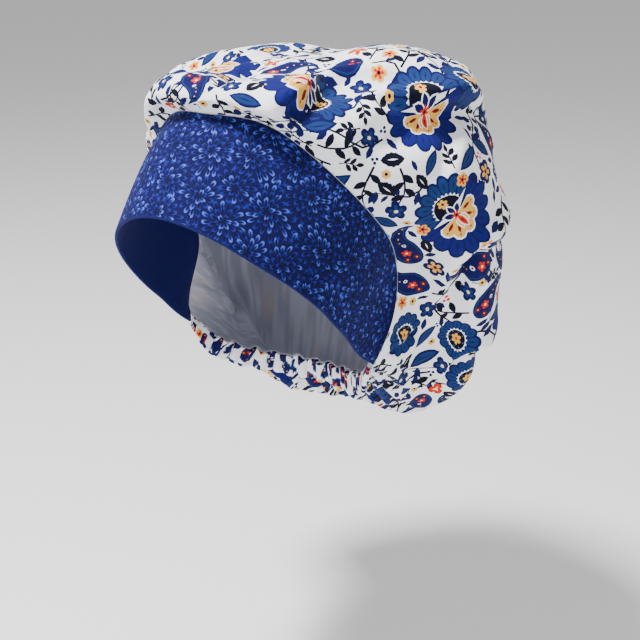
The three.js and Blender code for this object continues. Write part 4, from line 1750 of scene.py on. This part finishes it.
    def _crease_points(self) -> list[Array]:
        """Further points along the crisp creases, in lines side by side.

        Returns:
            Arrays of flat points.
        """
        made = []
        for fold, points, widths in self.form.fine_paths[:len(CREASES)]:
            steps = extended(np.array(fold.path, float))
            far = np.linalg.norm(np.diff(points, axis=0), axis=1).sum()
            at = open_curve(steps, np.linspace(0, 1, max(int(far / 2.2), 4)))
            flat = self.to_flat(at[:, 0], at[:, 1])
            along = unit(np.gradient(flat, axis=0))
            scale = np.interp(at[:, 1], self.ups[1:], self.flat_scale)[:, None]
            side = along[:, ::-1] * [-1, 1] * scale
            made += [flat + side * offset for offset in np.arange(-6, 6.1, 1.2)]
        return made

    def build(self) -> bpy.types.Object:
        """Builds the crown.

        Returns:
            The declared object.
        """
        shapes = self.print_layout(self.chart()).shapes()
        outlines = []
        for shape in shapes:
            r = np.hypot(shape.points[:, 0], shape.points[:, 1])[:, None]
            outlines.append(shape.points * np.minimum(1, 0.9985 / np.maximum(r, 1e-9)))
        turns = np.arange(self.columns) / self.columns
        border = self.to_flat(turns, np.zeros(self.columns))
        inlay = inlaid(border, outlines, self._spaced(self.field_points(), outlines))
        around, up = self.from_flat(inlay.points)
        up[inlay.border] = 0
        soup = Soup()
        soup.add(self.form.cloth(around, up), self.weave_place(around, up))
        soup.face(inlay.triangles, inlay_colours(inlay, shapes, Ink.WHITE))
        self._wrong_side(soup, inlay.border)
        LOG.info("crown: %d outer triangles, %d in all", len(inlay.triangles), soup.triangles())
        return self.declare(soup.build(self.name, self.finish.material()))

    def _spaced(self, points: Array, outlines: list[Array]) -> Array:
        """The field points that lie clear of every printed outline.

        Args:
            points: the field points.
            outlines: printed outlines.

        Returns:
            The points that stay.
        """
        drawn = np.vstack(outlines)
        places = self.form.smooth(*self.from_flat(drawn))
        tree = KDTree(len(places))
        for i, place in enumerate(places):
            tree.insert(place, i)
        tree.balance()
        far = [tree.find(place)[2] for place in self.form.smooth(*self.from_flat(points))]
        return points[np.array(far) > self.clearance]

    def _wrong_side(self, soup: Soup, border: Array) -> None:
        """Adds the inner face and joins it to the outer face along the seam, with the joining
        faces painted dark along the band as shadow in the seam.

        Args:
            soup: takes the points and faces.
            border: point numbers of the outer face's edge.
        """
        # dark is painted shadow in the seam, for the joining faces along the band.
        pale, dark = np.array(linear(206, 208, 220)), np.array(Ink.NIGHT.value)
        tree = self._print_tree(soup)
        count, half = self.columns, self.columns // 2
        turns = np.arange(count) / count
        ups = np.concatenate([np.linspace(0, 0.14, 11), np.linspace(0.14, 0.985, 79)[1:]])
        inner = self._inner(turns, ups)
        tight, loose = 11, np.arange(13, len(ups), 3)
        place = self.weave_place(*(g.ravel() for g in np.meshgrid(turns, ups, indexing="ij")))
        place = place.reshape(count, len(ups), 2)
        first = soup.add(inner[:, :tight].reshape(-1, 3), place[:, :tight].reshape(-1, 2))
        edge = first + np.arange(count) * tight
        after = np.roll(np.arange(count), -1)
        on_band = (np.abs(turns - np.round(turns)) < self.form.tip)[:, None, None]
        rims = np.stack([border[after], border, edge, edge[after]], 1)
        # Along the band the joining faces take the painted seam shadow; elsewhere they take the
        # pale wrong side.
        soup.face(rims, np.where(on_band, dark, pale))
        self._paint(soup, grid_faces(count, tight, first, True, True), tree, pale)
        second = soup.add(inner[::2, loose].reshape(-1, 3), place[::2, loose].reshape(-1, 2))
        low = edge + tight - 1
        high = second + np.arange(half) * len(loose)
        following, wide = np.roll(high, -1), np.roll(low[::2], -1)
        soup.face(np.stack([low[::2], high, low[1::2]], 1), pale)
        soup.face(np.stack([high, following, low[1::2]], 1), pale)
        soup.face(np.stack([low[1::2], following, wide], 1), pale)
        self._paint(soup, grid_faces(half, len(loose), second, True, True), tree, pale)
        last = high + len(loose) - 1
        top = soup.add(inner[::2, loose[-1]].mean(0)[None], np.zeros((1, 2)))
        soup.face(np.stack([np.roll(last, -1), last, np.full(half, top)], 1), pale)

    @staticmethod
    def _print_tree(soup: Soup) -> tuple[KDTree, Array]:
        """The middles of the outer triangles with their colours.

        Args:
            soup: takes the points and faces.

        Returns:
            The tree and the colours.
        """
        middles = soup.points[0][soup.faces[0]].mean(1)
        tree = KDTree(len(middles))
        for i, middle in enumerate(middles):
            tree.insert(middle, i)
        tree.balance()
        return tree, soup.colours[0].reshape(-1, 3, 3).mean(1)

    @staticmethod
    def _paint(soup: Soup, faces: Array, tree: tuple[KDTree, Array], pale: Array) -> None:
        """Adds faces of the wrong side, through which the print shows faintly."""
        points = np.vstack(soup.points)
        ids, back = np.unique(faces, return_inverse=True)
        found = np.array([tree[0].find(points[i])[1] for i in ids])
        shade = pale * 0.8 + tree[1][found] * 0.2
        soup.face(faces, shade[back].reshape(*faces.shape, 3))

    def _inner(self, turns: Array, ups: Array) -> Array:
        """The inner face's points: under the outer face, also where a crease dips.

        Args:
            turns: shares of the way round.
            ups: shares of the way up.

        Returns:
            Points by column and row.
        """
        shape = (len(turns), len(ups))
        around, up = (g.ravel() for g in np.meshgrid(turns, ups, indexing="ij"))
        at, normal = self.form.smooth(around, up), self.form.outward(around, up)
        shift = self.form.cloth(around, up) - at
        rise = (shift * normal).sum(1)
        side = (shift - normal * rise[:, None]).reshape(*shape, 3)
        low = rise.reshape(shape)
        for step in (-2, -1, 1, 2):
            low = np.minimum(low, np.roll(rise.reshape(shape), step, 0))
        eroded = low.copy()
        eroded[:, 1:] = np.minimum(eroded[:, 1:], low[:, :-1])
        eroded[:, :-1] = np.minimum(eroded[:, :-1], low[:, 1:])
        keep = smooth(np.array(ups) / 0.03)
        depth = rise.reshape(shape) * (1 - keep) + eroded * keep - self.form.sizes.crown_cloth
        points = at.reshape(*shape, 3) + side
        return points + normal.reshape(*shape, 3) * depth[..., None]


@dataclass
class LowerPiece(Piece):
    """A strip that hangs from the crown's edge: an outer face closed round to an inner one."""

    form: LowerForm = None
    cloth: float = 2.0
    columns: int = 420

    def surface(self, share: Array, up: Array) -> Array:
        """The strip's outer surface."""
        raise NotImplementedError

    def normal(self, share: Array, up: Array) -> Array:
        """The outward direction of the strip."""
        step = 0.002
        s = np.clip(share, self.lowest + step, 1 - step)
        v = np.clip(up, step, 1 - step)
        along = self.surface(s + step, v) - self.surface(s - step, v)
        return unit(np.cross(along, self.surface(s, v + step) - self.surface(s, v - step)))

    @property
    def lowest(self) -> float:
        """The share at the strip's first end."""
        return 0.0

    def shares(self) -> Array:
        """The shares of the strip's columns."""
        return np.linspace(self.lowest, 1, self.columns)

    def back(self, soup: Soup, rows: int, front: Array, colour: Array, scale: Array,
             printed: Callable[[Array], Array] | None = None) -> None:
        """Adds the rounded edges and the inner face.

        Args:
            soup: takes the points and faces.
            rows: the rows of the inner face.
            front: point numbers of the outer face's rim row, seam row and two end columns.
            colour: the colour of the wrong side.
            scale: millimetres of one share along and one share up.
            printed: gives the colours at places of a printed inner face.
        """
        shares = self.shares()
        half = self.cloth / 2
        turns = np.radians([25, 50, 75, 90, 105, 130, 155])
        columns = []
        for edge in (0.0, 1.0):
            up = np.full_like(shares, edge)
            at, out = self.surface(shares, up), self.normal(shares, up)
            inside = self.surface(shares, np.full_like(up, 0.02 if edge == 0 else 0.98))
            away = unit(at - inside)
            middle = at - out * half
            bulge = half * (0.9 if edge == 0 else 0.2)
            ring = [middle + out * half * math.cos(t) + away * bulge * math.sin(t) for t in turns]
            columns.append(np.stack(ring, 1))
        ups = np.linspace(0, 1, rows)
        s, u = np.meshgrid(shares, ups, indexing="ij")
        s, u = s.ravel(), u.ravel()
        inner = (self.surface(s, u) - self.normal(s, u) * self.cloth).reshape(len(shares), rows, 3)
        loop = np.concatenate([columns[0], inner, columns[1][:, ::-1]], 1)
        ups_all = np.concatenate([np.zeros(7), ups, np.ones(7)])
        place = np.stack(np.meshgrid(shares, ups_all, indexing="ij"), -1).reshape(-1, 2) * scale
        count = loop.shape[1]
        start = soup.add(loop.reshape(-1, 3), place)
        faces = grid_faces(len(shares), count, start, False, True)
        soup.face(faces, colour if printed is None else printed(place)[faces - start])
        first = start + np.arange(len(shares)) * count
        rim, seam = front[0], front[1]
        soup.face(np.stack([rim[:-1], first[:-1], first[1:], rim[1:]], 1), colour)
        last = first + count - 1
        soup.face(np.stack([last[:-1], seam[:-1], seam[1:], last[1:]], 1), colour)
        for side, column in ((0, front[2]), (len(shares) - 1, front[3])):
            ids = start + side * count + np.arange(count)
            ring = np.concatenate([column, ids[::-1]])
            middle = soup.add(loop[side].mean(0)[None], place[:1])
            nxt = np.roll(ring, -1)
            fan = np.stack([nxt, ring, np.full(len(ring), middle)], 1)
            soup.face(fan if side == 0 else fan[:, ::-1], colour)


RINGS = ((6, 0.4, 4.8), (11, 3.6, 8.6), (16, 7.4, 12.6), (21, 11.4, 17), (26, 15.6, 21))


@dataclass
class BandPiece(LowerPiece):
    """The front band with its bursts of small petals."""

    scale: tuple[float, float] = (205.0, 72.0)

    @property
    def lowest(self) -> float:
        """The band runs from -1 to 1."""
        return -1.0

    def surface(self, share: Array, up: Array) -> Array:
        """The band's outer surface."""
        return self.form.band(share, up)

    def chart(self) -> Chart:
        """The table of the band over its flat rectangle."""
        xs, ys = np.linspace(-1, 1, 601), np.linspace(0, 1, 61)
        s, u = np.meshgrid(xs, ys, indexing="ij")
        points = self.surface(s.ravel(), u.ravel()).reshape(*s.shape, 3)
        return Chart(xs * self.scale[0], ys * self.scale[1], points)

    def bursts(self, chart: Chart) -> Layout:
        """Lays bursts of petals whose tips catch the light.

        Args:
            chart: the table of the surface.

        Returns:
            The layout.
        """
        rng = np.random.default_rng(SEED + 7)
        layout = Layout(chart, rng)
        wide, high = self.scale
        flats = np.stack([rng.uniform(-wide, wide, 9000), rng.uniform(0, high, 9000)], 1)
        centres, spots = [], np.zeros((0, 3))
        for flat, at in zip(flats, chart.at(flats)):
            if not len(spots) or np.linalg.norm(spots - at, axis=1).min() > 19.5:
                centres.append(flat)
                spots = np.vstack([spots, at])
        drafts, middles = [], []
        for k, flat in enumerate(centres):
            turn = rng.uniform(0, 2 * math.pi)
            curl = rng.choice([-1, 1]) * rng.uniform(8, 26)
            for count, near, far in RINGS:
                for i in range(count):
                    angle = turn + 2 * math.pi * (i + rng.uniform(-0.12, 0.12)) / count
                    drafts.append((self._petal(rng, near, far, curl), flat, angle, k))
                    middles.append((near + (far - near) * 0.6, 0.0))
                turn += 0.4
        starts, turns = np.array([d[1] for d in drafts]), np.array([d[2] for d in drafts])
        at = chart.at(chart.walk(starts, turns, np.array(middles)))
        taken = np.zeros((0, 3))
        for (petal, flat, angle, k), place in zip(drafts, at):
            own = np.linalg.norm(spots - place, axis=1)
            free = not len(taken) or np.linalg.norm(taken - place, axis=1).min() > 1.75
            if free and own[k] < own.min() + 1.4:
                taken = np.vstack([taken, place])
                layout.laid.append((petal, flat, angle))
        LOG.info("band: %d bursts, %d petals", len(centres), len(layout.laid))
        return layout

    @staticmethod
    def _petal(rng: np.random.Generator, near: float, far: float, curl: float) -> Motif:
        """One petal of a burst, with a brighter tip inside it.

        Args:
            rng: the random draws.
            near: where it starts, from the middle.
            far: where it ends, from the middle.
            curl: its sideways bow.

        Returns:
            The motif.
        """
        end = far * rng.uniform(0.95, 1.04)
        width = rng.uniform(2.2, 2.8)
        lean = math.sin(math.radians(curl)) * 0.5
        made = Motif()
        bright = rng.uniform(0, 1)
        tip = Ink.PETAL_TIP if bright > 0.62 else Ink.PETAL
        parts = (
            (drop(near, end, width, 0, 0.8, 10), Ink.BAND_DEEP, tip),
            (drop(near, end - 1.3, width * 0.5, 0, 0.8, 7), Ink.BAND_DEEP,
             Ink.PETAL if bright > 0.8 else Ink.BAND),
        )
        for outline, root_ink, tip_ink in parts:
            outline[:, 1] += lean * (outline[:, 0] - near) ** 2 / (far - near)
            axis = ((near, 0), (near + (end - near) * 0.9, 0))
            made.shapes.append(Shape(outline, root_ink, tip_ink, axis))
        return made

    def build(self) -> bpy.types.Object:
        """Builds the band.

        Returns:
            The declared object.
        """
        shapes = self.bursts(self.chart()).shapes()
        wide, high = self.scale
        margin = np.array([wide - 0.25, high - 0.25])
        outlines = [np.clip(s.points, [-margin[0], 0.25], margin) for s in shapes]
        shares = self.shares()
        ends = np.linspace(0, 1, 14)[1:-1]
        low = np.stack([shares, 0 * shares], 1)
        high_row = np.stack([shares[::-1], 0 * shares + 1], 1)
        right = np.stack([0 * ends + 1, ends], 1)
        left = np.stack([0 * ends - 1, ends[::-1]], 1)
        border = np.vstack([low, right, high_row, left]) * self.scale
        s, u = np.meshgrid(np.linspace(-0.997, 0.997, 190), np.linspace(0.03, 0.97, 30))
        inlay = inlaid(border, outlines, np.stack([s.ravel(), u.ravel()], 1) * self.scale)
        soup = Soup()
        share, up = (inlay.points / self.scale).T
        soup.add(self.surface(np.clip(share, -1, 1), np.clip(up, 0, 1)), inlay.points)
        soup.face(inlay.triangles, inlay_colours(inlay, shapes, Ink.BAND))
        n, m = len(shares), len(ends)
        b = inlay.border
        rim, seam = b[:n], b[n + m:2 * n + m][::-1]
        first = np.concatenate([[rim[0]], b[2 * n + m:][::-1], [seam[0]]])[::-1]
        last = np.concatenate([[rim[-1]], b[n:n + m], [seam[-1]]])[::-1]
        dark = np.array(linear(20, 24, 84))
        self.back(soup, 26, (rim, seam, first, last), dark, np.array(self.scale))
        return self.declare(soup.build(self.name, self.finish.material()))


@dataclass
class CasingPiece(LowerPiece):
    """The gathered elastic casing in the crown's printed cotton."""

    columns: int = 760
    rows: int = 22
    cut: float = 330.0
    squeeze: float = 0.62
    trials: int = 2400

    def surface(self, share: Array, up: Array) -> Array:
        """The casing's outer surface."""
        return self.form.casing(share, up)

    def _design(self) -> list[Shape]:
        """The crown's motifs over both sides of the fold, squeezed by the gathers.

        Returns:
            The shapes.
        """
        rng = np.random.default_rng(SEED + 3)
        makers = (
            lambda: paisley(25, Ink.NAVY, Ink.MID),
            lambda: blossom(6.6, Ink.NAVY, Ink.MID, Ink.CREAM),
            lambda: blossom(4.8, Ink.GOLD, Ink.FLAME, Ink.NIGHT),
            trefoil,
            lambda: broad_leaf(17),
            lambda: lone_leaf(11),
            lambda: eye_flower(2.8),
        )
        shapes, spots = [], np.zeros((0, 3))
        for trial in range(self.trials):
            motif = makers[trial * len(makers) // self.trials]()
            turn, at = rng.uniform(0, 360), rng.uniform((-5, -14), (self.cut / self.squeeze, 14))
            discs = np.array(motif.discs, float)
            discs[:, :2] = placed(discs[:, :2], turn, at)
            far = np.linalg.norm(spots[None, :, :2] - discs[:, None, :2], axis=2)
            if (far < spots[None, :, 2] + discs[:, 2:] + 0.4).any():
                continue
            spots = np.vstack([spots, discs])
            shapes += [Shape(placed(shape.points, turn, at) * (self.squeeze, 1), shape.ink)
                       for shape in motif.shapes]
        return shapes

    def _inks(self, shapes: list[Shape], places: Array) -> Array:
        """The colours of the print at places of the casing in millimetres.

        Args:
            shapes: the printed shapes.
            places: places of the casing in millimetres.

        Returns:
            A linear colour for each place.
        """
        colours = np.tile(np.array(Ink.WHITE.value), (len(places), 1))
        for shape in shapes:
            low, high = shape.points.min(0), shape.points.max(0)
            near = np.flatnonzero(((places >= low) & (places <= high)).all(1))
            if len(near):
                colours[near[inside_outline(places[near], shape.points)]] = shape.ink.value
        return colours

    def build(self) -> bpy.types.Object:
        """Builds the casing.

        Returns:
            The declared object.
        """
        shares, ups = self.shares(), np.linspace(0, 1, self.rows)
        s, u = np.meshgrid(shares, ups, indexing="ij")
        soup = Soup()
        scale = np.array([self.cut, 12.0])
        shapes = self._design()
        place = np.stack([s.ravel(), u.ravel()], 1) * scale
        soup.add(self.surface(s.ravel(), u.ravel()), place)
        quads = grid_faces(len(shares), self.rows)
        soup.face(quads, self._inks(shapes, place)[quads])
        ids = np.arange(len(shares)) * self.rows
        first, last = np.arange(self.rows)[::-1], ids[-1] + np.arange(self.rows)[::-1]
        front = (ids, ids + self.rows - 1, first, last)
        self.back(soup, 22, front, np.array(Ink.WHITE.value), scale,
                  lambda at: self._inks(shapes, at * (1, -1)))
        return self.declare(soup.build(self.name, self.finish.material()))


@dataclass(frozen=True)
class Studio:
    """The plain floor, the soft lights and the camera at the photo's angle."""

    camera_at: tuple[float, float, float] = (0.4004, -0.5482, 0.1708)
    heading: float = 33.0
    tilt: float = 19.6
    lens: float = 63.0
    floor_height: float = -0.37

    def floor(self) -> None:
        """A pale floor well below the cap."""
        bpy.ops.mesh.primitive_plane_add(size=30, location=(0, 0, self.floor_height))
        floor = bpy.context.object
        floor.name = "floor"
        made = bpy.data.materials.new("floor_pale")
        made.use_nodes = True
        shader = made.node_tree.nodes["Principled BSDF"]
        shader.inputs["Base Color"].default_value = (0.9, 0.9, 0.9, 1)
        shader.inputs["Roughness"].default_value = 0.9
        floor.data.materials.append(made)

    def light(self, name: str, at: tuple[float, float, float], size: float, power: float) -> None:
        """A soft square light that faces the cap.

        Args:
            name: its name.
            at: its place in metres.
            size: its breadth in metres.
            power: its power in watts.
        """
        data = bpy.data.lights.new(name, "AREA")
        data.size, data.energy = size, power
        lamp = bpy.data.objects.new(name, data)
        lamp.location = at
        lamp.rotation_euler = (Vector((0, 0.03, -0.02)) - Vector(at)).to_track_quat(
            "-Z", "Y").to_euler()
        bpy.context.scene.collection.objects.link(lamp)

    def world(self) -> None:
        """A plain pale surround."""
        world = bpy.data.worlds.new("surround")
        world.use_nodes = True
        ground = world.node_tree.nodes["Background"]
        ground.inputs["Color"].default_value = (1, 1, 1, 1)
        ground.inputs["Strength"].default_value = 0.56
        bpy.context.scene.world = world

    def camera(self) -> None:
        """The camera of the photo's view."""
        data = bpy.data.cameras.new("camera")
        data.lens, data.sensor_width = self.lens, 36
        camera = bpy.data.objects.new("camera", data)
        h, t = math.radians(self.heading), math.radians(self.tilt)
        back = Vector((math.sin(h) * math.cos(t), -math.cos(h) * math.cos(t), math.sin(t)))
        right = Vector((math.cos(h), math.sin(h), 0))
        turn = Matrix((right, back.cross(right), back)).transposed()
        camera.matrix_world = Matrix.Translation(self.camera_at) @ turn.to_4x4()
        bpy.context.scene.collection.objects.link(camera)
        bpy.context.scene.camera = camera

    def build(self) -> None:
        """Sets the whole studio up."""
        self.floor()
        self.world()
        self.light("key", (-0.3, -0.5, 1.4), 0.3, 64)
        self.light("fill", (-0.4, -1.2, 0.1), 1.0, 8)
        self.light("side", (1.3, -0.2, 0.5), 0.9, 6)
        self.camera()


def main() -> None:
    """Builds and dresses every piece, then the studio."""
    logging.basicConfig(level=logging.INFO, format="%(name)s: %(message)s")
    crown = CrownForm(CapSizes())
    lower = LowerForm(crown)
    white = CottonFinish("printed_cotton")
    blue = CottonFinish("band_cotton", roughness=0.86, sheen=0.02, fade=0.12)
    pieces = [
        CrownPiece("crown", "crown_print", "crown_cotton", white, (0.51, 0.55), 0.22, "gathered",
                   form=crown),
        BandPiece("front_band", "band_print", "band_cotton", blue, (0.13, 0.43), 0.0246, "folded",
                  form=lower, cloth=crown.sizes.band_cloth),
        CasingPiece("nape_casing", "casing_print", "casing_cotton", white, (0.012, 0.33), 0.0039,
                    "gathered", form=lower, cloth=crown.sizes.casing_cloth),
    ]
    for piece in pieces:
        made = piece.build()
        LOG.info("%s: %d faces", made.name, len(made.data.polygons))
    Studio().build()


if __name__ == "__main__":
    main()
